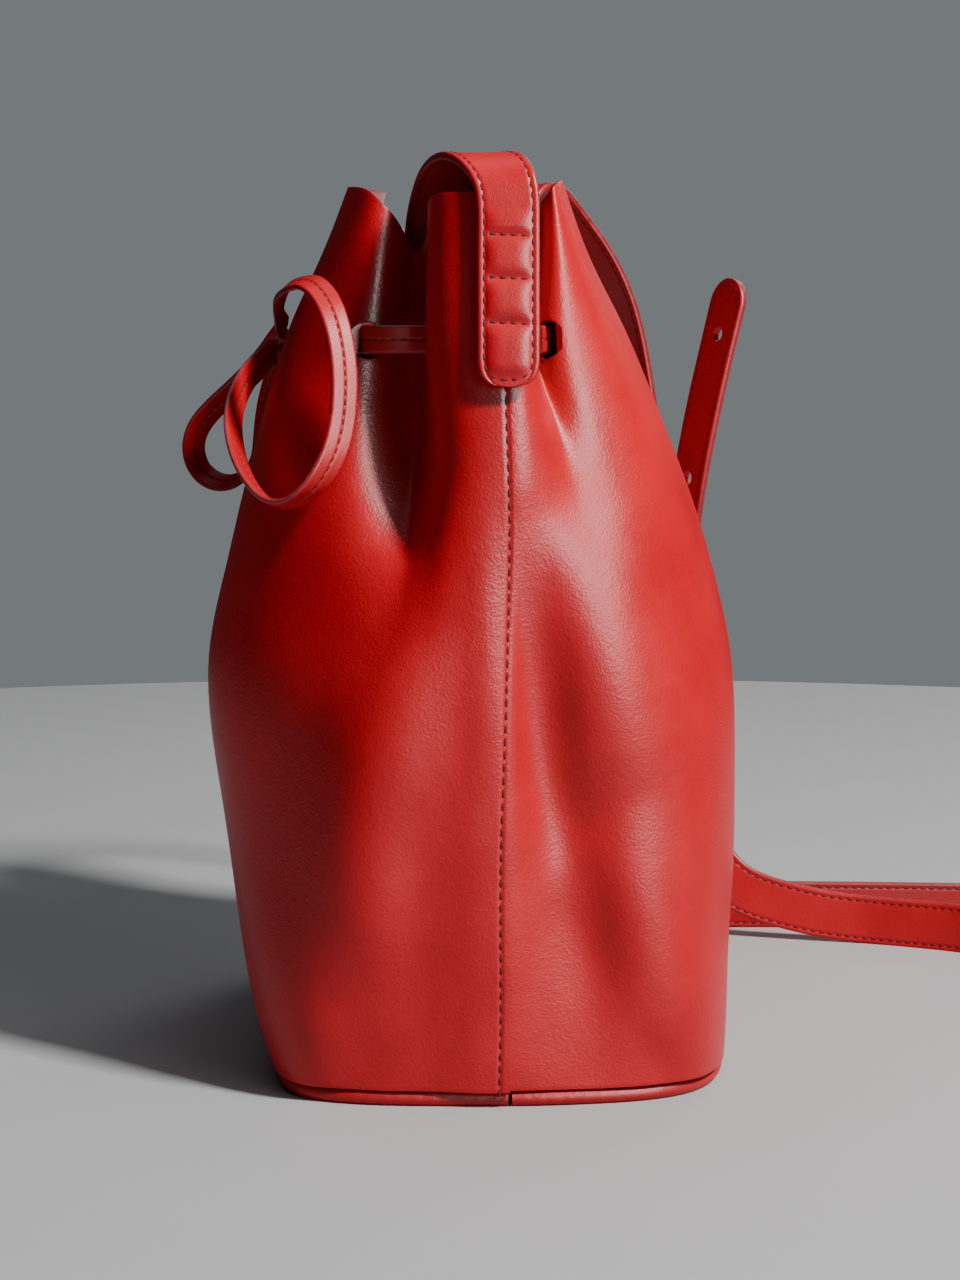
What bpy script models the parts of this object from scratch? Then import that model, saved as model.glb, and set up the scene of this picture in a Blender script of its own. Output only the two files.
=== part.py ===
"""Drawstring bucket bag with a two-part shoulder strap, as separate closed solids.

Metres, +Z up.  X runs along the bag's width (the near side seam is at +X), Y from the
front (-Y, where the bow hangs) to the back, and the origin is under the base's centre.
The driving dimensions below are in millimetres and become metres where meshes are made.
"""
import math

import bmesh
import bpy
import numpy as np
from mathutils import Matrix, Vector

MM = 0.001

# Driving dimensions
LEATHER = 1.8            # thickness of the wall leather
GAP = 0.3                # air left between two touching pieces
WALL_FOOT = 5.6          # height at which the walls start, above the welt
RIM_FRONT, RIM_FOLD, RIM_SIDE, RIM_BACK = 309.0, 281.0, 303.0, 309.0
BASE_PLATE = 2.4         # thickness of the base leather
BASE_INSET = 5.4         # from the wall's outline in to the base leather's edge
BOARD = 2.0
BOARD_INSET = 7.0
WELT_RADIUS = 2.55
WELT_INSET = 2.1
HOLE_RADIUS = 6.5
LACE_WIDTH, LACE_THICK = 9.5, 2.2
STRAP_WIDTH = 20.4
STRAP_PLY = 1.4          # each of the strap's two layers
PLY_GAP = 0.4
STRAP_LIFT = 2.6         # from the wall's surface to the strap's middle, at the tabs
STRAP_HOLE = 3.0         # radius of the holes in the tail
STUD_HOLE = 1.8          # radius of the stud's hole in the short strap
TAIL_HOLES = (22.5, 80.5)   # from the tail's tip
PATCH_WIDTH, PATCH_THICK = 11.0, 1.2
PATCH_DEPTH = 3.6        # from the wall's surface in to the patch's middle
LAP_STEP = LEATHER + GAP

# The wall's outline from the front's centre to the back's centre on the near side, at
# nine heights.  Points 4-8 make the deep fold beside the front, 8-12 the ridge with the
# side seam, 12-16 the narrow fold beside the back.
FRONT_FOLD, LAP_START, SEAM, UNDER_START, BACK_FOLD, BACK = 6, 10.05, 11, 10.2, 14, 20
HEIGHTS = (0, 30, 80, 140, 190, 225, 255, 280, 303)
OUTLINES = (
    ((0, -79), (40, -80), (76, -79), (96, -75.5), (108.5, -68), (114.5, -55),
     (117, -43), (118, -32), (118.3, -23), (118.5, -15), (118.6, -7), (118.4, 1.6),
     (118, 11), (117, 20), (115.5, 30), (113.2, 41), (108.5, 54), (98, 67), (76, 76),
     (40, 77.5), (0, 77.5)),
    ((0, -87.5), (37, -89), (74, -88.5), (97, -83), (111, -71), (117, -56),
     (120, -43), (121.5, -32), (122, -23), (122, -15), (122.3, -7), (122, 2.4),
     (119, 11), (117, 20), (116, 30), (116, 41), (112.5, 54), (102.5, 68), (78, 77),
     (40, 79.5), (0, 79.5)),
    ((0, -98), (35, -98.5), (68, -96.5), (90, -87.5), (105.5, -73), (118, -56),
     (125, -43), (126, -32), (126.5, -23), (126.5, -15), (126.5, -7), (126, 2),
     (120.5, 11), (117, 20), (116.5, 30), (118, 41), (115, 54), (103, 70), (77, 79.5),
     (38, 82.5), (0, 82.5)),
    ((0, -104), (33, -105), (66, -102.8), (87, -93), (102, -78), (113.5, -60),
     (121, -45), (126.5, -33), (128, -23), (128, -14), (128.5, -6), (128, 3.6),
     (122.5, 12), (119.5, 21), (119, 30), (118, 40), (113, 52), (99, 68), (72, 78.5),
     (36, 82), (0, 82)),
    ((0, -91), (31, -93), (62, -93.5), (83, -85), (98, -71), (110, -53), (114.5, -33),
     (118.5, -25), (123, -20), (125.5, -13.5), (127, -5), (127, 5.4), (123, 13),
     (119.5, 20), (116.5, 28), (113.5, 36), (108, 45), (94.5, 57.5), (68, 66.5),
     (34, 70), (0, 70.5)),
    ((0, -78.5), (30, -82), (60, -84.5), (79, -77), (93, -64), (103, -47), (89, -30.5),
     (105, -25), (117, -21.5), (123, -16), (125.5, -7), (125.5, 4.5), (121.5, 11),
     (116.5, 14.6), (111.5, 19), (109, 25.5), (105.5, 33), (94, 45.5), (67, 53.5),
     (33, 55.5), (0, 55.5)),
    ((0, -61), (28, -69), (56, -75.5), (69, -70), (82, -58), (91.5, -45.5), (79, -32),
     (92, -26.5), (110, -26), (119.5, -19), (123, -8), (123, 4), (118, 7.6),
     (108, 8.3), (95, 9.2), (102.5, 12.6), (104, 21), (93, 34), (66, 41.5),
     (33, 43.5), (0, 43.5)),
    ((0, -50), (27, -57.5), (54, -63.5), (69, -60), (81, -50.5), (86.5, -41), (72, -31.5),
     (88, -25.5), (106, -26), (116, -20), (120, -8), (120, 4.5), (114.5, 9),
     (99, 9.8), (82.5, 10.6), (92.5, 12.9), (98.5, 18), (88, 25.5), (61, 28.5),
     (30.5, 29.5), (0, 29.5)),
    ((0, -43), (26, -49.5), (52, -54.5), (67, -52), (79, -45), (80.5, -36.5), (67, -30),
     (84, -25), (102, -25.5), (112, -20), (116.5, -8), (116.5, 4.5), (110.5, 8.6),
     (94, 9.5), (74, 10.3), (84, 12.4), (93, 15.6), (84, 18.8), (58, 20.5), (29, 20),
     (0, 19.5)),
)
# Where the wall is punched, as places along the outline, and the drawstring's height.
HOLES_FRONT = (0.83, 4.88)
HOLE_SIDE_FRONT, HOLE_SIDE_BACK = 7.35, 12.95
HOLE_BACK = 15.0
LACE_Z = 255.5

# Colours (linear) and finishes
RED = (0.46, 0.008, 0.012, 1)
DARK_RED = (0.30, 0.006, 0.010, 1)
MATERIALS = {
    "leather": (RED, 0.42, 0.0),
    "lining": (DARK_RED, 0.75, 0.0),
    "lace": (RED, 0.46, 0.0),
    "strap": (RED, 0.44, 0.0),
    "board": ((0.20, 0.14, 0.09, 1), 0.9, 0.0),
    "brass": ((0.80, 0.60, 0.28, 1), 0.25, 1.0),
}


def clear_scene():
    for obj in list(bpy.data.objects):
        bpy.data.objects.remove(obj, do_unlink=True)


def material(kind):
    found = bpy.data.materials.get(kind)
    if found:
        return found
    colour, roughness, metallic = MATERIALS[kind]
    made = bpy.data.materials.new(kind)
    made.use_nodes = True
    shader = made.node_tree.nodes["Principled BSDF"]
    shader.inputs["Base Color"].default_value = colour
    shader.inputs["Roughness"].default_value = roughness
    shader.inputs["Metallic"].default_value = metallic
    return made


def catmull(points, t):
    """A smooth curve through points (n, d), at parameter t counted in points."""
    points = np.asarray(points, float)
    last = len(points) - 1
    i = int(min(max(math.floor(t), 0), last - 1))
    f = t - i
    p1, p2 = points[i], points[i + 1]
    p0 = points[i - 1] if i > 0 else 2 * p1 - p2
    p3 = points[i + 2] if i + 2 <= last else 2 * p2 - p1
    return 0.5 * ((2 * p1) + (p2 - p0) * f + (2 * p0 - 5 * p1 + 4 * p2 - p3) * f ** 2
                  + (3 * p1 - p0 - 3 * p2 + p3) * f ** 3)


def level_of(z):
    """A height as a fractional index into HEIGHTS."""
    return float(np.interp(z, HEIGHTS, range(len(HEIGHTS))))


def rim_height(place):
    """The rim dips where the mouth is folded in."""
    return np.interp(place, (0, 3.8, 5.2, FRONT_FOLD, 7, 8.5, 12.5, BACK_FOLD, 17, BACK),
                     (RIM_FRONT, RIM_FRONT - 2, 295, RIM_FOLD, 294, RIM_SIDE, RIM_SIDE,
                      RIM_FOLD + 17, RIM_BACK, RIM_BACK))


def wall_point(u, z):
    """The wall's outer surface at outline place u (negative is the far side)."""
    side = -1.0 if u < 0 else 1.0
    place = abs(u)
    if place > BACK:
        place, side = 2 * BACK - place, -side
    outline = catmull(np.array(OUTLINES, float), level_of(z))
    # The outline is mirrored past both centres, so the curve stays level there.
    mirror = outline[1] * (-1, 1), outline[-2] * (-1, 1)
    x, y = catmull(np.vstack([mirror[0], outline, mirror[1]]), place + 1)
    return np.array((side * x, y, z * rim_height(place) / RIM_SIDE))


def wall_normal(u, z):
    du, dz = 0.02, 1.0
    z0, z1 = max(z - dz, 0), min(z + dz, HEIGHTS[-1])
    along = wall_point(u + du, z) - wall_point(u - du, z)
    up = wall_point(u, z1) - wall_point(u, z0)
    normal = np.cross(along, up)
    return normal / np.linalg.norm(normal)


def wall_at(u, z, depth):
    """A point depth millimetres inside the wall's outer surface."""
    return wall_point(u, z) - wall_normal(u, z) * depth


def new_object(name, verts, faces, kind):
    mesh = bpy.data.meshes.new(name)
    mesh.from_pydata([tuple(float(c) * MM for c in v) for v in verts], [], faces)
    mesh.update()
    bm = bmesh.new()
    bm.from_mesh(mesh)
    bmesh.ops.recalc_face_normals(bm, faces=bm.faces)
    bm.to_mesh(mesh)
    bm.free()
    mesh.materials.append(material(kind))
    obj = bpy.data.objects.new(name, mesh)
    bpy.context.collection.objects.link(obj)
    return obj


def shell(name, places, heights, step_at=None, kind="leather"):
    """A sheet of leather on the wall, from an outer grid and an inner grid."""
    outer, inner = [], []
    for z in heights:
        for u in places:
            out = step_at(u) if step_at else 0.0
            outer.append(wall_at(u, z, -out))
            inner.append(wall_at(u, z, LEATHER - out))
    wide, tall = len(places), len(heights)
    count = wide * tall
    faces = []
    for j in range(tall - 1):
        for i in range(wide - 1):
            a, b = j * wide + i, j * wide + i + 1
            c, d = b + wide, a + wide
            faces += [(a, b, c, d), (count + d, count + c, count + b, count + a)]
    ring = [i for i in range(wide)]
    ring += [j * wide + wide - 1 for j in range(1, tall)]
    ring += [(tall - 1) * wide + i for i in range(wide - 2, -1, -1)]
    ring += [j * wide for j in range(tall - 2, 0, -1)]
    for a, b in zip(ring, ring[1:] + ring[:1]):
        faces.append((b, a, count + a, count + b))
    return new_object(name, outer + inner, faces, kind)


def bore(obj, centre, direction, radius, sides=20):
    """Cut a round hole through a thin piece, along a direction, at a point in mm."""
    bm = bmesh.new()
    bmesh.ops.create_cone(bm, cap_ends=True, segments=sides, radius1=radius * MM,
                          radius2=radius * MM, depth=12 * MM)
    turn = Vector(direction).to_track_quat("Z", "Y").to_matrix().to_4x4()
    place = Matrix.Translation([float(c) * MM for c in centre]) @ turn
    bmesh.ops.transform(bm, matrix=place, verts=bm.verts)
    mesh = bpy.data.meshes.new("cutter")
    bm.to_mesh(mesh)
    bm.free()
    cutter = bpy.data.objects.new("cutter", mesh)
    bpy.context.collection.objects.link(cutter)
    cut = obj.modifiers.new("hole", "BOOLEAN")
    cut.operation, cut.solver, cut.object = "DIFFERENCE", "EXACT", cutter
    bpy.context.view_layer.update()
    baked = bpy.data.meshes.new_from_object(
        obj.evaluated_get(bpy.context.evaluated_depsgraph_get()))
    obj.modifiers.remove(cut)
    obj.data = baked
    bpy.data.objects.remove(cutter, do_unlink=True)


def punch(obj, u):
    """A lace hole through the wall at outline place u."""
    place = abs(u) if abs(u) <= BACK else 2 * BACK - abs(u)
    z = LACE_Z * RIM_SIDE / rim_height(place)
    bore(obj, wall_point(u, z), wall_normal(u, z), HOLE_RADIUS)


def lap_step(u):
    """How far the front leather stands out where it laps over the back leather."""
    t = np.clip((abs(u) - 9.2) / (LAP_START - 9.2), 0, 1)
    return LAP_STEP * t * t * (3 - 2 * t)


def places_between(first, last, step=0.5):
    count = max(2, int(round(abs(last - first) / step)))
    return [first + (last - first) * i / count for i in range(count + 1)]


def wall_heights():
    levels = (WALL_FOOT, 15, 30, 47, 64, 80, 98, 117, 134, 150, 165, 178, 190, 202, 213,
              224, 234, 244, 255, 264, 273, 283, 293, 303)
    return [float(v) for v in levels]


def make_walls():
    rows = wall_heights()
    cut = 0.012                       # half of the gap where two wall nodes meet
    front = shell("front_panel",
                  places_between(-FRONT_FOLD + cut, FRONT_FOLD - cut), rows)
    for side in (-1, 1):
        for hole in HOLES_FRONT:
            punch(front, side * hole)
    back = shell("back_panel",
                 places_between(BACK_FOLD + cut, 2 * BACK - BACK_FOLD - cut), rows)
    for place in (HOLE_BACK, 2 * BACK - HOLE_BACK):
        punch(back, place)
    for side, word in ((1, "near"), (-1, "far")):
        places = places_between(side * (FRONT_FOLD + cut), side * SEAM, 0.42)
        gusset = shell(f"front_gusset_{word}", places, rows, step_at=lap_step)
        punch(gusset, side * HOLE_SIDE_FRONT)
        places = places_between(side * UNDER_START, side * (BACK_FOLD - cut), 0.42)
        gusset = shell(f"back_gusset_{word}", places, rows)
        punch(gusset, side * HOLE_SIDE_BACK)


def base_ring(inset, z, step=0.5):
    """The base's outline, moved in by inset, as points at height z."""
    ring = []
    for u in places_between(-BACK, BACK, step)[:-1]:
        point = wall_point(u, 0.0)
        normal = wall_normal(u, 0.0)
        flat = np.array((normal[0], normal[1], 0))
        point = point - flat / np.linalg.norm(flat) * inset
        ring.append((point[0], point[1], z))
    return ring


def plate(name, inset, low, high, kind):
    bottom, top = base_ring(inset, low), base_ring(inset, high)
    count = len(bottom)
    faces = [tuple(range(count)), tuple(range(count, 2 * count))]
    faces += [(i, (i + 1) % count, count + (i + 1) % count, count + i)
              for i in range(count)]
    return new_object(name, bottom + top, faces, kind)


def welt(name, first, last):
    """A rolled edge around half of the base."""
    centres = []
    for u in places_between(first, last, 0.5):
        point, normal = wall_point(u, 0.0), wall_normal(u, 0.0)
        flat = np.array((normal[0], normal[1], 0))
        point = point - flat / np.linalg.norm(flat) * WELT_INSET
        centres.append(Vector((point[0], point[1], WELT_RADIUS)))
    sides = 10
    verts, faces = [], []
    for i, centre in enumerate(centres):
        ahead = centres[min(i + 1, len(centres) - 1)] - centres[max(i - 1, 0)]
        across = ahead.cross(Vector((0, 0, 1))).normalized()
        for k in range(sides):
            turn = 2 * math.pi * k / sides
            verts.append(centre + across * WELT_RADIUS * math.cos(turn)
                         + Vector((0, 0, 1)) * WELT_RADIUS * math.sin(turn))
    for i in range(len(centres) - 1):
        for k in range(sides):
            a, b = i * sides + k, i * sides + (k + 1) % sides
            faces.append((a, b, b + sides, a + sides))
    faces.append(tuple(range(sides)))
    faces.append(tuple(range(len(verts) - sides, len(verts))))
    return new_object(name, verts, faces, "leather")


def ribbon(name, route, width, thick, kind, lift=0.0, steps=3, round_start=False,
           round_end=False):
    """A flat band along a route of (x, y, z, width direction) entries."""
    points = np.array([entry[:3] for entry in route], float)
    wides = np.array([entry[3:] for entry in route], float)
    count = (len(points) - 1) * steps
    stations = [i / steps for i in range(count + 1)]
    if round_start:
        stations = [0, 0.04, 0.1, 0.2] + [s for s in stations if s > 0.25]
    if round_end:
        last = len(points) - 1
        stations = [s for s in stations if s < last - 0.25]
        stations += [last - 0.2, last - 0.1, last - 0.04, last]
    centres = [catmull(points, s) for s in stations]
    run = [0.0]
    for a, b in zip(centres, centres[1:]):
        run.append(run[-1] + float(np.linalg.norm(b - a)))
    verts, faces = [], []
    for i, s in enumerate(stations):
        ahead = catmull(points, min(s + 0.05, len(points) - 1))
        ahead = ahead - catmull(points, max(s - 0.05, 0))
        ahead = ahead / np.linalg.norm(ahead)
        wide = catmull(wides, s)
        wide = wide - ahead * np.dot(wide, ahead)
        wide = wide / np.linalg.norm(wide)
        out = np.cross(ahead, wide)
        full = width / 2
        half = full
        if round_start and run[i] < full:
            half = max(0.12 * full, math.sqrt(full ** 2 - (full - run[i]) ** 2))
        if round_end and run[-1] - run[i] < full:
            left = run[-1] - run[i]
            half = max(0.12 * full, math.sqrt(full ** 2 - (full - left) ** 2))
        for a, b in ((-1, -1), (1, -1), (1, 1), (-1, 1)):
            verts.append(centres[i] + wide * half * a + out * (lift + b * thick / 2))
    for i in range(len(stations) - 1):
        for k in range(4):
            a, b = 4 * i + k, 4 * i + (k + 1) % 4
            faces.append((a, b, b + 4, a + 4))
    faces += [(0, 1, 2, 3), tuple(range(len(verts) - 4, len(verts)))]
    return new_object(name, verts, faces, kind)


UP = (0, 0, 1)
# The drawstring round the mouth: outside over the folds, inside everywhere else.
LACE_FRONT = ((9.8, -74.8, LACE_Z + 1, *UP), (15, -74.6, LACE_Z, *UP), (20, -71.2, LACE_Z, *UP),
              (24.5, -66, LACE_Z, *UP), (31, -63, LACE_Z, *UP), (42, -62.6, LACE_Z, *UP),
              (54, -64, LACE_Z, *UP), (65, -59.4, LACE_Z, *UP), (75, -51.5, LACE_Z, *UP),
              (82.5, -48.2, LACE_Z, *UP), (90.5, -46, LACE_Z, *UP), (96.3, -42, LACE_Z, *UP),
              (97.5, -37, LACE_Z, *UP))
LACE_SIDE = ((97.6, -35.8, LACE_Z, *UP), (97.4, -31, LACE_Z, *UP), (97, -26, LACE_Z, *UP),
             (97.5, -20, LACE_Z, *UP), (100, -11, LACE_Z, *UP), (103, -2, LACE_Z, *UP),
             (105, 3, LACE_Z, *UP), (105.8, 8.4, LACE_Z, *UP), (104.4, 10.4, LACE_Z, *UP))
LACE_BACK = ((103.4, 11.4, LACE_Z, *UP), (99.6, 12.8, LACE_Z, *UP), (94, 15.8, LACE_Z, *UP),
             (87, 20.5, LACE_Z, *UP), (77.5, 27, LACE_Z, *UP), (60, 34.5, LACE_Z, *UP),
             (30, 38.4, LACE_Z, *UP), (0, 39, LACE_Z, *UP))

# The bow's loops: a point and the direction of the lace's width there.
LOOP_NEAR = ((10, -79, 259.8, 0, -0.1, -1), (20, -80.2, 262.6, 0, -0.15, -1),
             (32, -79.2, 266.1, 0.05, -0.3, -0.95), (46, -77.8, 269.3, 0.15, -0.5, -0.85),
             (61, -75.4, 272.4, 0.25, -0.7, -0.65), (75, -70.6, 274.3, 0.38, -0.78, -0.5),
             (86, -65, 274.4, 0.45, -0.8, -0.36), (94, -59.5, 269.2, 0.45, -0.82, -0.3),
             (99.5, -55.7, 260.2, 0.43, -0.87, -0.2), (103, -53.6, 250.1, 0.42, -0.9, -0.1),
             (106, -52.9, 239.7, 0.4, -0.92, 0), (107.5, -53.6, 229.3, 0.4, -0.91, 0.05),
             (110.5, -55.8, 219.4, 0.45, -0.88, 0.1), (112, -60.3, 210.6, 0.56, -0.8, 0.16),
             (111, -66.2, 204.2, 0.7, -0.68, 0.2), (107.5, -73.2, 201, 0.83, -0.5, 0.24),
             (101.5, -80.3, 202.8, 0.85, -0.42, 0.3), (93.5, -86.6, 209.7, 0.8, -0.48, 0.38),
             (83.5, -90.8, 218.3, 0.7, -0.55, 0.45), (72, -92.8, 227.4, 0.5, -0.55, 0.65),
             (59.5, -92.3, 235.5, 0.4, -0.45, 0.8), (46, -89.2, 243, 0.3, -0.3, 0.9),
             (32, -84.6, 248.9, 0.2, -0.15, 0.97), (19, -83.5, 251, 0.05, 0, 1),
             (10.5, -82.8, 250.6, 0.05, 0, 1))
LOOP_FAR = ((-11.5, -80.4, 259.6, 0.1, 0, 1), (-15.5, -83.2, 254.7, 0.3, -0.2, 0.95),
            (-20, -88.2, 248.4, 0.45, -0.35, 0.82), (-25.5, -94.6, 242, 0.55, -0.45, 0.7),
            (-30.5, -101.6, 235.9, 0.58, -0.55, 0.6), (-34.5, -109, 229.5, 0.55, -0.65, 0.52),
            (-37, -115.2, 222.3, 0.5, -0.75, 0.35), (-37.8, -117.5, 214.6, 0.52, -0.8, 0),
            (-36.8, -115.6, 207.4, 0.5, -0.78, -0.3), (-34.3, -110.5, 202.4, 0.56, -0.6, -0.5),
            (-30.8, -103.7, 201.1, 0.73, -0.3, -0.55), (-27.6, -97.3, 204, 0.87, -0.05, -0.42),
            (-25.6, -93.4, 210, 0.97, 0.08, -0.2), (-24.8, -92.3, 217, 0.95, 0.15, -0.15),
            (-22.8, -90.6, 225, 0.8, 0.3, -0.45), (-20, -88, 234, 0.55, 0.35, -0.7),
            (-16, -84.9, 242.8, 0.3, 0.25, -0.9), (-10.5, -82.2, 250.4, 0.1, 0, -1))
LACE_END = ((5.3, -78, 246.0, 1, 0, 0), (5.4, -81.5, 236, 1, 0, 0),
            (5.6, -85, 222, 1, 0, 0), (6.0, -90, 205.5, 1, 0, 0),
            (6.4, -94.3, 190.5, 1, 0, 0))
KNOT_CENTRE, KNOT_HALF = (0.0, -72.6, 254.5), (7.6, 4.6, 8.6)

# The short strap: sewn to the near ridge, over the rim and down inside the bag.
SHORT_TAB_HEIGHTS = (240, 250, 262, 274, 286, 299)
SHORT_FREE = ((120.6, 0.8, 304.8, 0, 1, 0), (117.8, -1.2, 310.2, 0.05, 1, 0),
              (110.2, -5.6, 314.2, 0.15, 1, 0), (98.5, -10.9, 315.4, 0.22, 1, 0),
              (84.5, -17.5, 311.4, 0.25, 1, 0), (71.5, -21.5, 303.4, 0.25, 1, 0),
              (61.5, -24.0, 292.0, 0.2, 1, 0), (56.0, -24.5, 277.0, 0.12, 1, 0),
              (54.5, -23.5, 260.0, 0.05, 1, 0), (54.5, -21.0, 240.0, 0, 1, 0),
              (55.5, -18.5, 218.0, 0, 1, 0), (57.5, -17.0, 196.0, 0, 1, 0),
              (60.0, -16.5, 176.0, 0, 1, 0))

# The long strap: sewn to the far ridge, over the rim, down behind the bag, once round
# on the floor standing on its edge, and up again to its holed end.
LONG_TAB_HEIGHTS = (240, 268, 297)
LONG_FREE = ((-120.5, 3.0, 309.0, 0, 1, 0), (-124.0, 8.0, 315.0, 0.2, 1, 0.1),
             (-132.0, 14.5, 317.0, 0.45, 0.9, 0.1), (-141.5, 21.0, 313.0, 0.62, 0.78, 0.15),
             (-150.0, 29.5, 303.5, 0.72, 0.66, 0.2), (-156.0, 39.5, 291.0, 0.76, 0.6, 0.2),
             (-161.0, 49.0, 273.0, 0.78, 0.58, 0.2), (-164.5, 55.5, 250.0, 0.78, 0.6, 0.1),
             (-167.0, 61.5, 210.0, 0.72, 0.68, 0.05), (-168.8, 67.0, 165.0, 0.54, 0.82, 0.1),
             (-168.8, 71.5, 122.0, 0.3, 0.9, 0.2), (-167.2, 76.0, 82.0, 0.1, 0.85, 0.42),
             (-164.2, 83.5, 48.0, 0, 0.65, 0.75), (-159.0, 100.0, 23.0, 0, 0.33, 0.94),
             (-151.0, 131.0, 13.0, 0, 0.05, 1), (-143.5, 160.0, 10.2, *UP),
             (-129.0, 190.0, 10.1, *UP), (-114.5, 210.0, 10.1, *UP),
             (-107.0, 231.0, 10.1, *UP), (-115.0, 249.5, 10.1, *UP),
             (-136.0, 257.5, 10.1, *UP), (-158.0, 249.0, 10.1, *UP),
             (-170.5, 226.0, 10.1, *UP), (-174.5, 192.0, 10.1, *UP),
             (-177.5, 148.0, 10.1, *UP), (-179.0, 107.0, 10.2, 0, 0, 1),
             (-173.5, 80.0, 12.5, 0.05, 0.1, 1), (-160.5, 58.5, 20.0, 0.25, 0.35, 0.9),
             (-145.0, 45.5, 36.0, 0.45, 0.6, 0.66), (-133.5, 40.8, 57.0, 0.45, 0.82, 0.35),
             (-126.6, 43.0, 81.0, 0.4, 0.9, 0.05), (-122.8, 52.8, 109.0, 0.55, 0.83, -0.05),
             (-114.8, 64.6, 137.0, 0.68, 0.73, 0), (-102.6, 71.2, 163.0, 0.78, 0.62, 0.08),
             (-91.0, 74.0, 190.0, 0.84, 0.53, 0.1), (-85.5, 80.8, 230.0, 0.82, 0.55, 0.1),
             (-84.0, 91.8, 279.0, 0.8, 0.56, 0.1))
STUD_AT = (59.0, -16.7, 184.0)

# The moving pieces' origins: a point on the axis that each one turns about.
PIVOTS = (
    ((0.0, -78.5, 5.6), ("front_panel", "lace_front_near", "lace_front_far", "lace_knot")),
    ((0.0, 77.5, 5.6), ("back_panel", "lace_back")),
    ((121.3, 2.0, 303.3), ("short_strap_outer", "short_strap_lining", "stud_head",
                           "stud_screw")),
    ((4.0, -74.5, 255.5), ("bow_loop_near",)),
    ((-4.0, -74.5, 255.5), ("bow_loop_far",)),
    ((5.3, -78.5, 247.0), ("lace_end_near",)),
    ((-5.3, -78.5, 247.0), ("lace_end_far",)),
)


def mirrored(route):
    return tuple((-e[0], e[1], e[2], -e[3], e[4], e[5]) for e in route)


def tab_route(side, heights):
    """The strap's route up the ridge over the side seam."""
    entries = []
    for z in heights:
        point = wall_point(side * 10.75, z) + wall_normal(side * 10.75, z) * (
            STRAP_LIFT + LAP_STEP)
        entries.append((point[0], 1.0, point[2], 0, 1, 0))
    return tuple(entries)


def make_base():
    plate("base_panel", BASE_INSET, 0.0, BASE_PLATE, "leather")
    plate("base_board", BOARD_INSET, BASE_PLATE + GAP, BASE_PLATE + GAP + BOARD, "board")
    welt("welt_front", -UNDER_START + 0.05, UNDER_START - 0.05)
    welt("welt_back", SEAM + 0.1, 2 * BACK - SEAM - 0.1)


def make_patches():
    """The squares of leather behind the tabs, inside the bag."""
    for side, word in ((1, "near"), (-1, "far")):
        route = []
        for z in (247, 260, 273, 286, 299):
            spot = wall_at(side * 10.4, z, PATCH_DEPTH)
            route.append((spot[0], -1.8, spot[2], 0, 1, 0))
        ribbon(f"patch_{word}", route, PATCH_WIDTH, PATCH_THICK, "lining", steps=1)


def make_lace():
    band = (LACE_WIDTH, LACE_THICK, "lace")
    for side, word in ((1, "near"), (-1, "far")):
        turn = (lambda route: route) if side > 0 else mirrored
        ribbon(f"lace_front_{word}", turn(LACE_FRONT), *band)
        ribbon(f"lace_side_{word}", turn(LACE_SIDE), *band)
        ribbon(f"lace_end_{word}", turn(LACE_END), *band, steps=2)
    ribbon("lace_back", LACE_BACK + mirrored(LACE_BACK)[-2::-1], *band)
    ribbon("bow_loop_near", LOOP_NEAR, *band)
    ribbon("bow_loop_far", LOOP_FAR, *band)


def make_knot():
    bm = bmesh.new()
    bmesh.ops.create_icosphere(bm, subdivisions=2, radius=1.0)
    obj_mesh = bpy.data.meshes.new("lace_knot")
    for vert in bm.verts:
        for axis in range(3):
            flat = abs(vert.co[axis]) ** 0.75 * math.copysign(1, vert.co[axis])
            vert.co[axis] = (KNOT_CENTRE[axis] + flat * KNOT_HALF[axis]) * MM
    bm.to_mesh(obj_mesh)
    bm.free()
    obj_mesh.materials.append(material("lace"))
    obj = bpy.data.objects.new("lace_knot", obj_mesh)
    bpy.context.collection.objects.link(obj)


def strap_pair(stem, route, steps=3, **ends):
    """The strap's two leather layers on one route."""
    lift = (STRAP_PLY + PLY_GAP) / 2
    outer = ribbon(f"{stem}_outer", route, STRAP_WIDTH, STRAP_PLY, "strap",
                   lift=-lift, steps=steps, **ends)
    lining = ribbon(f"{stem}_lining", route, STRAP_WIDTH, STRAP_PLY, "lining",
                    lift=lift, steps=steps, **ends)
    return outer, lining


def route_place(route, from_end):
    """The point, width direction and normal at a distance from a route's end."""
    points = np.array([entry[:3] for entry in route], float)
    s, left, here = len(points) - 1.0, from_end, catmull(points, len(points) - 1)
    while left > 0:
        s -= 0.01
        there = catmull(points, s)
        left -= float(np.linalg.norm(there - here))
        here = there
    ahead = catmull(points, s + 0.05) - catmull(points, s - 0.05)
    wide = catmull(np.array([entry[3:] for entry in route], float), s)
    return here, np.cross(ahead, wide)


def make_straps():
    strap_pair("tab_near", tab_route(1, SHORT_TAB_HEIGHTS), round_start=True)
    free = strap_pair("short_strap", SHORT_FREE, steps=4, round_end=True)
    axis = np.array((1.0, 0.0, 0.12))
    for layer in free:
        bore(layer, STUD_AT, axis, STUD_HOLE, sides=14)
    long_route = tab_route(-1, LONG_TAB_HEIGHTS) + LONG_FREE
    long_strap = ribbon("long_strap", long_route, STRAP_WIDTH, 2 * STRAP_PLY + PLY_GAP,
                        "strap", steps=2, round_start=True, round_end=True)
    for distance in TAIL_HOLES:
        here, out = route_place(long_route, distance)
        bore(long_strap, here, out, STRAP_HOLE, sides=14)


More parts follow.
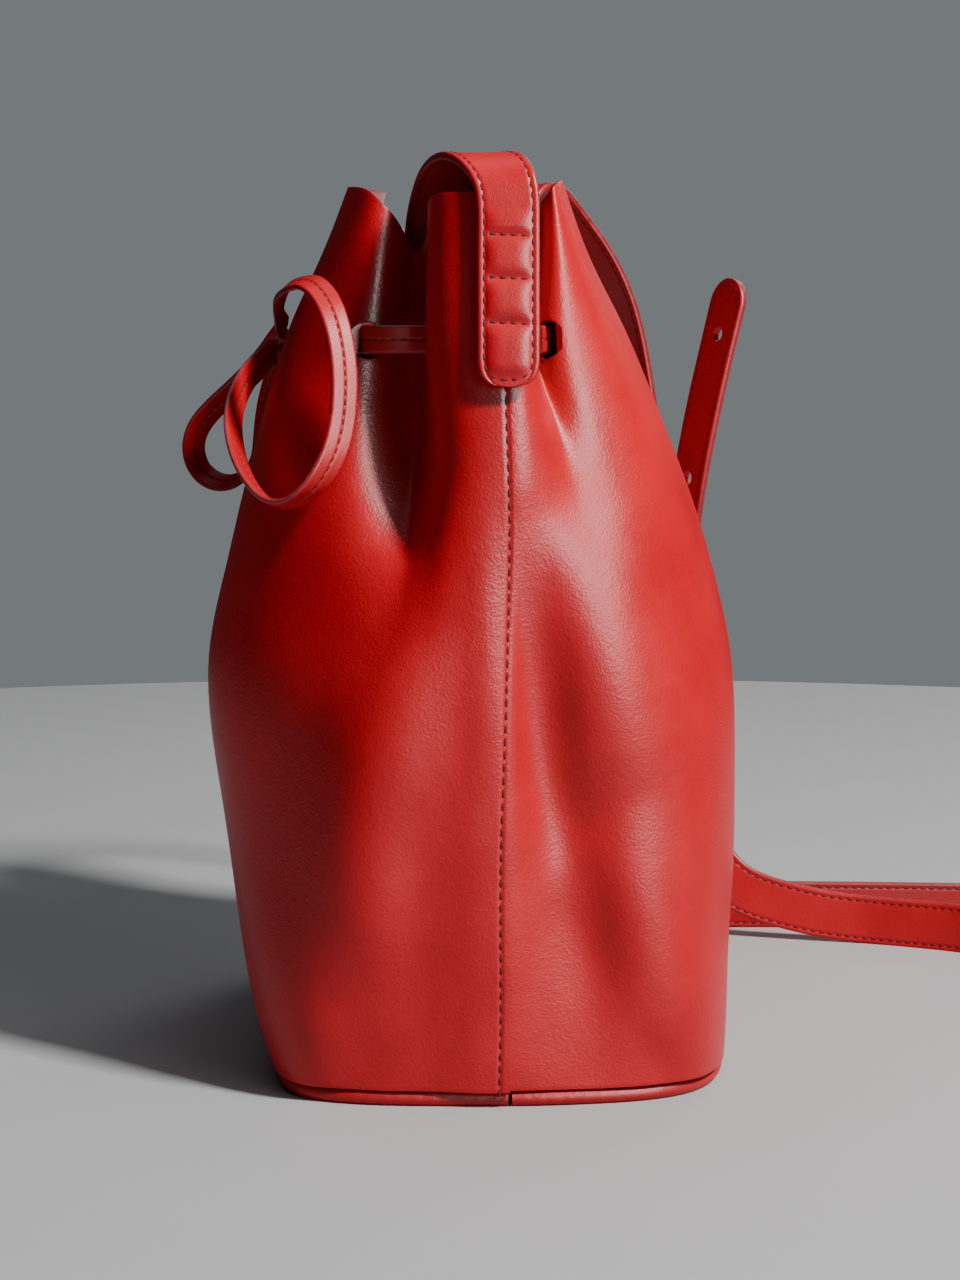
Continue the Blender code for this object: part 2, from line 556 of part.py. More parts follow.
def lathe(name, profile, kind, centre, axis):
    """A turned piece from (radius, height) points along an axis."""
    sides = 20
    verts, faces = [], []
    for radius, height in profile:
        for k in range(sides):
            turn = 2 * math.pi * k / sides
            verts.append((radius * math.cos(turn), radius * math.sin(turn), height))
    for i in range(len(profile) - 1):
        for k in range(sides):
            a, b = i * sides + k, i * sides + (k + 1) % sides
            faces.append((a, b, b + sides, a + sides))
    faces += [tuple(range(sides)), tuple(range(len(verts) - sides, len(verts)))]
    turn = Vector(axis).to_track_quat("Z", "Y")
    placed = [turn @ Vector(v) + Vector(centre) for v in verts]
    return new_object(name, placed, faces, kind)


def make_stud():
    """A button stud: a screwed foot behind the strap's end and a ball head in front."""
    axis = (-1.0, 0.0, -0.12)
    lathe("stud_head", ((4.2, 2.1), (4.2, 2.9), (1.5, 3.2), (1.5, 5.0), (2.6, 5.6),
                        (3.3, 6.9), (3.2, 8.3), (2.2, 9.6), (0.8, 10.1)),
          "brass", STUD_AT, axis)
    lathe("stud_screw", ((4.2, -2.9), (4.2, -2.1), (1.45, -2.1), (1.45, 1.9)),
          "brass", STUD_AT, axis)


def place_origins():
    """Move each moving piece's origin onto its axis and leave the piece where it is."""
    for pivot, names in PIVOTS:
        spot = Vector(pivot) * MM
        for name in names:
            obj = bpy.data.objects[name]
            obj.data.transform(Matrix.Translation(-spot))
            obj.location = spot


def main():
    clear_scene()
    make_base()
    make_walls()
    make_patches()
    make_lace()
    make_knot()
    make_straps()
    make_stud()
    place_origins()


main()
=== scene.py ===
"""The bucket bag's look: its leather, stitching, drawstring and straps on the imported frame.

Everything in the tables is in millimetres, with X along the bag's width (near seam at +X),
Y from the front (-Y) to the back and Z up.
"""
import math

import bmesh
import bpy
import numpy as np
from mathutils import Matrix, Vector


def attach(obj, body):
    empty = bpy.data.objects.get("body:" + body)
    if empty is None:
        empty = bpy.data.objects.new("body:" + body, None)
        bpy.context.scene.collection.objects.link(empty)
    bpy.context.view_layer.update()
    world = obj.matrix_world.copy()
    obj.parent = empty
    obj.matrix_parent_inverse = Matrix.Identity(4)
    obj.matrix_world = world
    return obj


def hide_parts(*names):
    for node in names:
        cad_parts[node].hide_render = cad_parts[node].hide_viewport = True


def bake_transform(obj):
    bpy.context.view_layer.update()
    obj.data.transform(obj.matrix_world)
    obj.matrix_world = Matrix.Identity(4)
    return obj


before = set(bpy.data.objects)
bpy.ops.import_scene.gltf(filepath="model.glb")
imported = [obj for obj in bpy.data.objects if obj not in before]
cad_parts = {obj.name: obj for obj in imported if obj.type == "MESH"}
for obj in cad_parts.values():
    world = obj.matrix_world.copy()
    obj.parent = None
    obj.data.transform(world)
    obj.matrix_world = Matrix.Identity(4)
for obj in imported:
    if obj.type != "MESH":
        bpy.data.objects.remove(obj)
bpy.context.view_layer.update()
MM = 0.001

# Camera and light ---------------------------------------------------------------------

scene = bpy.context.scene
camera_data = bpy.data.cameras.new("camera")
camera_data.lens, camera_data.sensor_width = 81.6, 36.0
camera_data.clip_start, camera_data.clip_end = 0.05, 40.0
camera = bpy.data.objects.new("camera", camera_data)
camera.location = (1.068, -0.0082, 0.257)
camera.rotation_euler = (math.radians(84), 0, math.radians(90))
scene.collection.objects.link(camera)
scene.camera = camera


def area_light(name, place, target, size, watts, colour, diffuse=True):
    data = bpy.data.lights.new(name, "AREA")
    data.shape, data.size, data.size_y = "RECTANGLE", size[0], size[1]
    data.energy, data.color = watts, colour
    obj = bpy.data.objects.new(name, data)
    obj.location = place
    towards = Vector(target) - Vector(place)
    obj.rotation_euler = towards.to_track_quat("-Z", "Y").to_euler()
    obj.visible_diffuse = diffuse
    scene.collection.objects.link(obj)


area_light("key", (1.09, 1.32, 1.96), (0, 0, 0.16), (0.30, 0.30), 138, (1.0, 0.96, 0.93))
area_light("sheen", (1.58, 1.06, 0.70), (0, 0, 0.17), (0.8, 0.8), 75, (1.0, 0.97, 0.96), False)
area_light("top", (-0.3, -0.2, 2.6), (0, 0, 0), (1.6, 1.6), 11, (0.90, 0.95, 1.0))
area_light("back", (-1.6, 0.9, 1.2), (0, 0, 0.2), (0.8, 0.8), 7, (1.0, 0.98, 0.95))

# The studio's walls light the bag a little and show lighter behind it.
world = bpy.data.worlds.new("studio")
world.use_nodes = True
nodes, links = world.node_tree.nodes, world.node_tree.links
seen = nodes.new("ShaderNodeLightPath")
strength = nodes.new("ShaderNodeMapRange")
strength.inputs["To Min"].default_value, strength.inputs["To Max"].default_value = 0.03, 0.23
links.new(seen.outputs["Is Camera Ray"], strength.inputs["Value"])
links.new(strength.outputs["Result"], nodes["Background"].inputs["Strength"])
nodes["Background"].inputs["Color"].default_value = (0.76, 0.83, 0.86, 1)
scene.world = world

# Shape tables, as in the CAD ----------------------------------------------------------

LEATHER, GAP, WALL_FOOT = 1.8, 0.3, 5.6
RIM_FRONT, RIM_FOLD, RIM_SIDE, RIM_BACK = 309.0, 281.0, 303.0, 309.0
WELT_RADIUS, WELT_INSET = 2.55, 2.1
HOLE_RADIUS = 6.5
LACE_WIDTH, LACE_THICK = 9.5, 2.2
STRAP_WIDTH, STRAP_THICK, STRAP_LIFT = 20.4, 3.2, 2.6
STRAP_HOLE, TAIL_HOLES = 3.0, (22.5, 80.5)
LAP_STEP = LEATHER + GAP
FRONT_FOLD, LAP_START, SEAM, UNDER_START, BACK_FOLD, BACK = 6, 10.05, 11, 10.2, 14, 20
HEIGHTS = (0, 30, 80, 140, 190, 225, 255, 280, 303)
OUTLINES = (
    ((0, -79), (40, -80), (76, -79), (96, -75.5), (108.5, -68), (114.5, -55),
     (117, -43), (118, -32), (118.3, -23), (118.5, -15), (118.6, -7), (118.4, 1.6),
     (118, 11), (117, 20), (115.5, 30), (113.2, 41), (108.5, 54), (98, 67), (76, 76),
     (40, 77.5), (0, 77.5)),
    ((0, -87.5), (37, -89), (74, -88.5), (97, -83), (111, -71), (117, -56),
     (120, -43), (121.5, -32), (122, -23), (122, -15), (122.3, -7), (122, 2.4),
     (119, 11), (117, 20), (116, 30), (116, 41), (112.5, 54), (102.5, 68), (78, 77),
     (40, 79.5), (0, 79.5)),
    ((0, -98), (35, -98.5), (68, -96.5), (90, -87.5), (105.5, -73), (118, -56),
     (125, -43), (126, -32), (126.5, -23), (126.5, -15), (126.5, -7), (126, 2),
     (120.5, 11), (117, 20), (116.5, 30), (118, 41), (115, 54), (103, 70), (77, 79.5),
     (38, 82.5), (0, 82.5)),
    ((0, -104), (33, -105), (66, -102.8), (87, -93), (102, -78), (113.5, -60),
     (121, -45), (126.5, -33), (128, -23), (128, -14), (128.5, -6), (128, 3.6),
     (122.5, 12), (119.5, 21), (119, 30), (118, 40), (113, 52), (99, 68), (72, 78.5),
     (36, 82), (0, 82)),
    ((0, -91), (31, -93), (62, -93.5), (83, -85), (98, -71), (110, -53), (114.5, -33),
     (118.5, -25), (123, -20), (125.5, -13.5), (127, -5), (127, 5.4), (123, 13),
     (119.5, 20), (116.5, 28), (113.5, 36), (108, 45), (94.5, 57.5), (68, 66.5),
     (34, 70), (0, 70.5)),
    ((0, -78.5), (30, -82), (60, -84.5), (79, -77), (93, -64), (103, -47), (89, -30.5),
     (105, -25), (117, -21.5), (123, -16), (125.5, -7), (125.5, 4.5), (121.5, 11),
     (116.5, 14.6), (111.5, 19), (109, 25.5), (105.5, 33), (94, 45.5), (67, 53.5),
     (33, 55.5), (0, 55.5)),
    ((0, -61), (28, -69), (56, -75.5), (69, -70), (82, -58), (91.5, -45.5), (79, -32),
     (92, -26.5), (110, -26), (119.5, -19), (123, -8), (123, 4), (118, 7.6),
     (108, 8.3), (95, 9.2), (102.5, 12.6), (104, 21), (93, 34), (66, 41.5),
     (33, 43.5), (0, 43.5)),
    ((0, -50), (27, -57.5), (54, -63.5), (69, -60), (81, -50.5), (86.5, -41), (72, -31.5),
     (88, -25.5), (106, -26), (116, -20), (120, -8), (120, 4.5), (114.5, 9),
     (99, 9.8), (82.5, 10.6), (92.5, 12.9), (98.5, 18), (88, 25.5), (61, 28.5),
     (30.5, 29.5), (0, 29.5)),
    ((0, -43), (26, -49.5), (52, -54.5), (67, -52), (79, -45), (80.5, -36.5), (67, -30),
     (84, -25), (102, -25.5), (112, -20), (116.5, -8), (116.5, 4.5), (110.5, 8.6),
     (94, 9.5), (74, 10.3), (84, 12.4), (93, 15.6), (84, 18.8), (58, 20.5), (29, 20),
     (0, 19.5)),
)
# Where the wall is punched, as places along the outline, and the drawstring's height.
HOLES_FRONT = (0.83, 4.88)
HOLE_SIDE_FRONT, HOLE_SIDE_BACK = 7.35, 12.95
HOLE_BACK = 15.0
LACE_Z = 255.5

UP = (0, 0, 1)


def on_edge(height, *places):
    """Route entries, at (X, Y) places, for a band that stands on its edge at one height."""
    return tuple((x, y, height, *UP) for x, y in places)


# The drawstring round the mouth: outside over the folds, inside everywhere else.
LACE_FRONT = on_edge(LACE_Z + 1, (9.8, -74.8)) + on_edge(LACE_Z,
    (15, -74.6), (20, -71.2), (24.5, -66), (31, -63), (42, -62.6), (54, -64), (65, -59.4),
    (75, -51.5), (82.5, -48.2), (90.5, -46), (96.3, -42), (97.5, -37))
LACE_SIDE = on_edge(LACE_Z,
    (97.6, -35.8), (97.4, -31), (97, -26), (97.5, -20), (100, -11), (103, -2), (105, 3),
    (105.8, 8.4), (104.4, 10.4))
LACE_BACK = on_edge(LACE_Z,
    (103.4, 11.4), (99.6, 12.8), (94, 15.8), (87, 20.5), (77.5, 27), (60, 34.5), (30, 38.4),
    (0, 39))

# The bow's loops: a point and the direction of the lace's width there.
LOOP_NEAR = (
    (10, -79, 259.8, 0, -0.1, -1), (20, -80.2, 262.6, 0, -0.15, -1),
    (32, -79.2, 266.1, 0.05, -0.3, -0.95), (46, -77.8, 269.3, 0.15, -0.5, -0.85),
    (61, -75.4, 272.4, 0.25, -0.7, -0.65), (75, -70.6, 274.3, 0.38, -0.78, -0.5),
    (86, -65, 274.4, 0.45, -0.8, -0.36), (94, -59.5, 269.2, 0.45, -0.82, -0.3),
    (99.5, -55.7, 260.2, 0.43, -0.87, -0.2), (103, -53.6, 250.1, 0.42, -0.9, -0.1),
    (106, -52.9, 239.7, 0.4, -0.92, 0), (107.5, -53.6, 229.3, 0.4, -0.91, 0.05),
    (110.5, -55.8, 219.4, 0.45, -0.88, 0.1), (112, -60.3, 210.6, 0.56, -0.8, 0.16),
    (111, -66.2, 204.2, 0.7, -0.68, 0.2), (107.5, -73.2, 201, 0.83, -0.5, 0.24),
    (101.5, -80.3, 202.8, 0.85, -0.42, 0.3), (93.5, -86.6, 209.7, 0.8, -0.48, 0.38),
    (83.5, -90.8, 218.3, 0.7, -0.55, 0.45), (72, -92.8, 227.4, 0.5, -0.55, 0.65),
    (59.5, -92.3, 235.5, 0.4, -0.45, 0.8), (46, -89.2, 243, 0.3, -0.3, 0.9),
    (32, -84.6, 248.9, 0.2, -0.15, 0.97), (19, -83.5, 251, 0.05, 0, 1),
    (10.5, -82.8, 250.6, 0.05, 0, 1),
)
LOOP_FAR = (
    (-11.5, -80.4, 259.6, 0.1, 0, 1), (-15.5, -83.2, 254.7, 0.3, -0.2, 0.95),
    (-20, -88.2, 248.4, 0.45, -0.35, 0.82), (-25.5, -94.6, 242, 0.55, -0.45, 0.7),
    (-30.5, -101.6, 235.9, 0.58, -0.55, 0.6), (-34.5, -109, 229.5, 0.55, -0.65, 0.52),
    (-37, -115.2, 222.3, 0.5, -0.75, 0.35), (-37.8, -117.5, 214.6, 0.52, -0.8, 0),
    (-36.8, -115.6, 207.4, 0.5, -0.78, -0.3), (-34.3, -110.5, 202.4, 0.56, -0.6, -0.5),
    (-30.8, -103.7, 201.1, 0.73, -0.3, -0.55), (-27.6, -97.3, 204, 0.87, -0.05, -0.42),
    (-25.6, -93.4, 210, 0.97, 0.08, -0.2), (-24.8, -92.3, 217, 0.95, 0.15, -0.15),
    (-22.8, -90.6, 225, 0.8, 0.3, -0.45), (-20, -88, 234, 0.55, 0.35, -0.7),
    (-16, -84.9, 242.8, 0.3, 0.25, -0.9), (-10.5, -82.2, 250.4, 0.1, 0, -1),
)
LACE_END = (
    (5.3, -78, 246, 1, 0, 0), (5.4, -81.5, 236, 1, 0, 0), (5.6, -85, 222, 1, 0, 0),
    (6, -90, 205.5, 1, 0, 0), (6.4, -94.3, 190.5, 1, 0, 0),
)
KNOT_CENTRE, KNOT_HALF = (0, -72.6, 254.5), (7.6, 4.6, 8.6)

# The short strap: sewn to the near ridge, over the rim and down inside the bag.
SHORT_TAB_HEIGHTS = (240, 250, 262, 274, 286, 299)
SHORT_FREE = (
    (120.6, 0.8, 304.8, 0, 1, 0), (117.8, -1.2, 310.2, 0.05, 1, 0),
    (110.2, -5.6, 314.2, 0.15, 1, 0), (98.5, -10.9, 315.4, 0.22, 1, 0),
    (84.5, -17.5, 311.4, 0.25, 1, 0), (71.5, -21.5, 303.4, 0.25, 1, 0),
    (61.5, -24, 292, 0.2, 1, 0), (56, -24.5, 277, 0.12, 1, 0), (54.5, -23.5, 260, 0.05, 1, 0),
    (54.5, -21, 240, 0, 1, 0), (55.5, -18.5, 218, 0, 1, 0), (57.5, -17, 196, 0, 1, 0),
    (60, -16.5, 176, 0, 1, 0),
)

# The long strap: sewn to the far ridge, over the rim, down behind the bag, once round
# on the floor standing on its edge, and up again to its holed end.
LONG_TAB_HEIGHTS = (240, 268, 297)
LONG_FREE = (
    (-120.5, 3, 309, 0, 1, 0), (-124, 8, 315, 0.2, 1, 0.1), (-132, 14.5, 317, 0.45, 0.9, 0.1),
    (-141.5, 21, 313, 0.62, 0.78, 0.15), (-150, 29.5, 303.5, 0.72, 0.66, 0.2),
    (-156, 39.5, 291, 0.76, 0.6, 0.2), (-161, 49, 273, 0.78, 0.58, 0.2),
    (-164.5, 55.5, 250, 0.78, 0.6, 0.1), (-167, 61.5, 210, 0.72, 0.68, 0.05),
    (-168.8, 67, 165, 0.54, 0.82, 0.1), (-168.8, 71.5, 122, 0.3, 0.9, 0.2),
    (-167.2, 76, 82, 0.1, 0.85, 0.42), (-164.2, 83.5, 48, 0, 0.65, 0.75),
    (-159, 100, 23, 0, 0.33, 0.94), (-151, 131, 13, 0, 0.05, 1), (-143.5, 160, 10.2, *UP),
) + on_edge(10.1,
    (-129, 190), (-114.5, 210), (-107, 231), (-115, 249.5), (-136, 257.5), (-158, 249),
    (-170.5, 226), (-174.5, 192), (-177.5, 148)) + (
    (-179, 107, 10.2, 0, 0, 1), (-173.5, 80, 12.5, 0.05, 0.1, 1),
    (-160.5, 58.5, 20, 0.25, 0.35, 0.9), (-145, 45.5, 36, 0.45, 0.6, 0.66),
    (-133.5, 40.8, 57, 0.45, 0.82, 0.35), (-126.6, 43, 81, 0.4, 0.9, 0.05),
    (-122.8, 52.8, 109, 0.55, 0.83, -0.05), (-114.8, 64.6, 137, 0.68, 0.73, 0),
    (-102.6, 71.2, 163, 0.78, 0.62, 0.08), (-91, 74, 190, 0.84, 0.53, 0.1),
    (-85.5, 80.8, 230, 0.82, 0.55, 0.1), (-84, 91.8, 279, 0.8, 0.56, 0.1),
)
STUD_AT = (59, -16.7, 184)

# Curves and surfaces ------------------------------------------------------------------


def basis(count, where, ring=False):
    """Catmull-Rom weights that take count control values to the places in where."""
    weights = np.zeros((len(where), count))
    for row, t in enumerate(where):
        i = math.floor(t) if ring else int(min(max(math.floor(t), 0), count - 2))
        f = t - i
        four = (-f + 2 * f ** 2 - f ** 3, 2 - 5 * f ** 2 + 3 * f ** 3,
                f + 4 * f ** 2 - 3 * f ** 3, f ** 3 - f ** 2)
        for k, value in enumerate(four):
            at = i - 1 + k
            if ring:
                weights[row, at % count] += 0.5 * value
            elif at < 0:
                weights[row, 0] += value
                weights[row, 1] -= 0.5 * value
            elif at >= count:
                weights[row, -1] += value
                weights[row, -2] -= 0.5 * value
            else:
                weights[row, at] += 0.5 * value
    return weights


def soften(values, sigma, ring=False):
    """Gaussian smoothing along the first axis; open ends stay where they are."""
    reach = int(math.ceil(3 * sigma))
    if ring:
        padded = np.concatenate([values[-reach:], values, values[:reach]])
    else:
        before = 2 * values[:1] - values[reach:0:-1]
        after = 2 * values[-1:] - values[-2:-reach - 2:-1]
        padded = np.concatenate([before, values, after])
    kernel = np.exp(-0.5 * (np.arange(-reach, reach + 1) / sigma) ** 2)
    kernel /= kernel.sum()
    return sum(k * padded[i:i + len(values)] for i, k in enumerate(kernel))


def unit(vectors):
    """Vectors of length 1, along the last axis."""
    return vectors / np.maximum(np.linalg.norm(vectors, axis=-1, keepdims=True), 1e-12)


def bump(value, centre, width):
    """A bell curve of height 1."""
    return np.exp(-((value - centre) / width) ** 2)


def waves(u, z, seed, size):
    """A smooth, repeatable unevenness from a few sine waves; u and z in millimetres."""
    rng = np.random.default_rng(seed)
    total = np.zeros(np.broadcast(u, z).shape)
    for _ in range(14):
        turn, phase = rng.uniform(0, math.pi), rng.uniform(0, 2 * math.pi)
        length = size * rng.uniform(0.7, 1.8)
        total += np.sin((u * math.cos(turn) + z * math.sin(turn)) * 2 * math.pi / length + phase)
    return total / 5.0


# The wall's surface on a fine grid: U counts outline places all the way round, Z is the
# height before the rim's own rise and fall.
RING = 2 * BACK
U_STEP, Z_STEP = 1 / 16, 1.5
PLACE_SPAN = 16.0   # about how many millimetres one outline place covers
GRID_U = np.arange(0, RING, U_STEP)
GRID_Z = np.linspace(0, HEIGHTS[-1], int(round(HEIGHTS[-1] / Z_STEP)) + 1)


def rim_height(place):
    """The rim dips where the mouth is folded in."""
    return np.interp(place, (0, 3.8, 5.2, FRONT_FOLD, 7, 8.5, 12.5, BACK_FOLD, 17, BACK),
                     (RIM_FRONT, RIM_FRONT - 2, 295, RIM_FOLD, 294, RIM_SIDE, RIM_SIDE,
                      RIM_FOLD + 17, RIM_BACK, RIM_BACK))


def build_wall():
    """The smooth wall's points on the grid, from the outlines and their mirror image."""
    near = np.array(OUTLINES, float)
    far = near[:, -2:0:-1] * (-1, 1)
    outlines = np.concatenate([near, far], axis=1)
    levels = np.interp(GRID_Z, HEIGHTS, range(len(HEIGHTS)))
    across = basis(RING, GRID_U, ring=True)
    up = basis(len(HEIGHTS), levels)
    flat = np.einsum("zh,hrc,ur->uzc", up, outlines, across)
    rim = rim_height(np.minimum(GRID_U, RING - GRID_U))
    high = GRID_Z[None, :] * rim[:, None] / RIM_SIDE
    points = np.concatenate([flat, high[..., None]], axis=2)
    points = soften(points, 0.34 / U_STEP, ring=True)
    return np.swapaxes(soften(np.swapaxes(points, 0, 1), 9.0 / Z_STEP), 0, 1)


def grid_normals(points):
    along = np.roll(points, -1, axis=0) - np.roll(points, 1, axis=0)
    up = np.gradient(points, axis=1)
    return unit(np.cross(along, up))


# Creases and hollows of the near side and of the far side: a path of (Y, Z) places, how
# wide it is and how far it stands out (or, below zero, sinks in).
NEAR_CREASES = (
    (((-26, 214), (-31, 170), (-44, 112), (-57, 58), (-72, 2)), 17, 6.2),
    (((-56, 34), (-74, 0)), 6, 1.2),
    (((5, 206), (8, 160), (13, 116), (22, 76)), 9, -5.4),
    (((22, 200), (31, 150), (40, 104)), 18, 4.4),
    (((30, 96), (46, 60), (62, 24), (76, -6)), 15, 3.0),
    (((22, 82), (40, 22)), 13, -1.6),
    (((46, 26), (60, 0)), 5, -1.0),
    (((-40, 26), (-56, 0)), 6, -0.9),
)
FAR_CREASES = (
    (((20, 206), (29, 120), (52, 50), (70, 2)), 15, 3.2),
    (((-6, 200), (-11, 130), (-20, 78)), 10, -3.4),
    (((-30, 92), (-54, 36), (-72, -4)), 14, 2.8),
    (((50, 26), (62, 0)), 5, -0.9),
)


def path_gap(y, z, path):
    """The distance from places in a side's (Y, Z) plane to a path, and how far along it."""
    gap, place = np.full(y.shape, 1e6), np.zeros(y.shape)
    spans = [math.hypot(y1 - y0, z1 - z0) for (y0, z0), (y1, z1) in zip(path, path[1:])]
    passed = 0.0
    for (y0, z0), (y1, z1), span in zip(path, path[1:], spans):
        dy, dz = y1 - y0, z1 - z0
        t = np.clip(((y - y0) * dy + (z - z0) * dz) / span ** 2, 0, 1)
        found = np.hypot(y - y0 - t * dy, z - z0 - t * dz)
        place = np.where(found < gap, (passed + t * span) / sum(spans), place)
        gap = np.minimum(gap, found)
        passed += span
    return gap, place


def relief(points):
    """How far the leather stands out of, or sinks into, the smooth surface."""
    z = GRID_Z[None, :]
    girth = GRID_U[:, None] * PLACE_SPAN
    depth = 0.22 * waves(girth, z, 5, 64) + 0.03 * waves(girth, z, 11, 19)
    depth = depth * np.clip(z / 30, 0, 1)
    for side, creases in ((1, NEAR_CREASES), (-1, FAR_CREASES)):
        share = np.clip(side * points[..., 0] / 60, 0, 1)
        for path, width, height in creases:
            gap, place = path_gap(points[..., 1], points[..., 2], path)
            taper = np.sin(math.pi * place) ** 0.8
            depth = depth + share * height * bump(gap, 0, width) * taper
    depth = soften(depth, 0.22 / U_STEP, ring=True)
    return soften(depth.T, 4.0 / Z_STEP).T


SMOOTH_WALL = build_wall()
WALL = SMOOTH_WALL + grid_normals(SMOOTH_WALL) * relief(SMOOTH_WALL)[..., None]
WALL_NORMAL = grid_normals(WALL)


def sample(grid, u, z):
    """Values of a grid at places u (any sign) and heights z, between its nodes."""
    u, z = np.broadcast_arrays(np.asarray(u, float), np.asarray(z, float))
    a, b = (u % RING) / U_STEP, np.clip(z / Z_STEP, 0, len(GRID_Z) - 1.001)
    i, j = np.floor(a).astype(int), np.floor(b).astype(int)
    f, g = (a - i)[..., None], (b - j)[..., None]
    i, k = i % len(GRID_U), (i + 1) % len(GRID_U)
    return ((grid[i, j] * (1 - f) + grid[k, j] * f) * (1 - g)
            + (grid[i, j + 1] * (1 - f) + grid[k, j + 1] * f) * g)


LAP_FOOT = 7.2     # the outline place where the front leather starts to rise to the lap


def lap_step(u):
    """How far the front leather stands out where it laps over the back leather."""
    t = np.clip((np.abs(u) - LAP_FOOT) / (LAP_START - LAP_FOOT), 0, 1)
    return LAP_STEP * t * t * (3 - 2 * t)


def wall_at(u, z, out=0.0):
    """Points on the wall, out millimetres proud of it."""
    return sample(WALL, u, z) + unit(sample(WALL_NORMAL, u, z)) * np.asarray(out)[..., None]


# Materials ----------------------------------------------------------------------------


def add(tree, kind, **settings):
    """A shader node; settings that start with in_ are its sockets' values."""
    node = tree.nodes.new(kind)
    for key, value in settings.items():
        if key.startswith("in_"):
            node.inputs[key[3:].replace("_", " ")].default_value = value
        else:
            setattr(node, key, value)
    return node


def surface(name, colour, rough, metallic=0.0, **sockets):
    """A new material with its node tree and its shader."""
    material = bpy.data.materials.new(name)
    material.use_nodes = True
    shader = material.node_tree.nodes["Principled BSDF"]
    shader.inputs["Base Color"].default_value = (*colour, 1)
    shader.inputs["Roughness"].default_value = rough
    shader.inputs["Metallic"].default_value = metallic
    for key, value in sockets.items():
        shader.inputs[key.replace("_", " ")].default_value = value
    return material, material.node_tree, shader


def vary(tree, shader, colour, low, high, scale, rough_low, rough_high):
    """Colour and roughness that drift over the surface; gives its object coordinates."""
    where = add(tree, "ShaderNodeTexCoord").outputs["Object"]
    noise = add(tree, "ShaderNodeTexNoise", in_Scale=scale, in_Detail=4.0, in_Roughness=0.6)
    tree.links.new(where, noise.inputs["Vector"])
    ramp = add(tree, "ShaderNodeValToRGB")
    ramp.color_ramp.elements[0].position, ramp.color_ramp.elements[1].position = 0.3, 0.7
    ramp.color_ramp.elements[0].color = (*[c * low for c in colour], 1)
    ramp.color_ramp.elements[1].color = (*[c * high for c in colour], 1)
    tree.links.new(noise.outputs["Fac"], ramp.inputs["Fac"])
    tree.links.new(ramp.outputs["Color"], shader.inputs["Base Color"])
    spread = add(tree, "ShaderNodeMapRange", in_From_Min=0.3, in_From_Max=0.7,
                 in_To_Min=rough_low, in_To_Max=rough_high)
    tree.links.new(noise.outputs["Fac"], spread.inputs["Value"])
    tree.links.new(spread.outputs["Result"], shader.inputs["Roughness"])
    return where


def raised(tree, height, strength, distance, under=None):
    """A bump from a height socket, on top of another bump's normal where one is given."""
    node = add(tree, "ShaderNodeBump", in_Strength=strength, in_Distance=distance)
    tree.links.new(height, node.inputs["Height"])
    if under is not None:
        tree.links.new(under, node.inputs["Normal"])
    return node.outputs["Normal"]


def leather(name, colour, rough, cell=0.9, grain=0.16, creases=0.10):
    """Smooth grained leather; cell is the size of a pebble of the grain in millimetres."""
    material, tree, shader = surface(name, colour, rough, Specular_IOR_Level=0.30)
    where = vary(tree, shader, colour, 0.88, 1.08, 26.0, rough - 0.05, rough + 0.06)
    pebbles = add(tree, "ShaderNodeTexVoronoi", feature="SMOOTH_F1", in_Scale=1000 / cell,
                  in_Smoothness=0.6, in_Randomness=1.0)
    pores = add(tree, "ShaderNodeTexNoise", in_Scale=2400 / cell, in_Detail=3.0)
    folds = add(tree, "ShaderNodeTexNoise", in_Scale=260.0, in_Detail=5.0, in_Roughness=0.62,
                in_Distortion=0.6)
    for node in (pebbles, pores, folds):
        tree.links.new(where, node.inputs["Vector"])
    fine = raised(tree, pebbles.outputs["Distance"], grain, 0.0004)
    finer = raised(tree, pores.outputs["Fac"], grain * 0.7, 0.0002, fine)
    broad = raised(tree, folds.outputs["Fac"], creases, 0.0012, finer)
    tree.links.new(broad, shader.inputs["Normal"])
    return material


def suede(name, colour):
    """The leather's raw inner side."""
    material, tree, shader = surface(name, colour, 0.9, Sheen_Weight=0.25,
                                     Specular_IOR_Level=0.15)
    where = vary(tree, shader, colour, 0.75, 1.15, 180.0, 0.85, 0.97)
    nap = add(tree, "ShaderNodeTexNoise", in_Scale=1900.0, in_Detail=4.0)
    tree.links.new(where, nap.inputs["Vector"])
    tree.links.new(raised(tree, nap.outputs["Fac"], 0.5, 0.0006), shader.inputs["Normal"])
    return material


def thread(name, colour):
    """Twisted thread: fine slanting plies across each stitch."""
    material, tree, shader = surface(name, colour, 0.7, Specular_IOR_Level=0.2)
    where = vary(tree, shader, colour, 0.7, 1.15, 900.0, 0.66, 0.8)
    plies = add(tree, "ShaderNodeTexWave", in_Scale=900.0, in_Distortion=1.5,
                bands_direction="DIAGONAL")
    tree.links.new(where, plies.inputs["Vector"])
    tree.links.new(raised(tree, plies.outputs["Fac"], 0.4, 0.0002), shader.inputs["Normal"])
    return material


def plain(name, colour, rough, drift, metallic=0.0):
    """A material with no relief, whose colour and roughness drift a little."""
    material, tree, shader = surface(name, colour, rough, metallic)
    vary(tree, shader, colour, *drift)
    return material


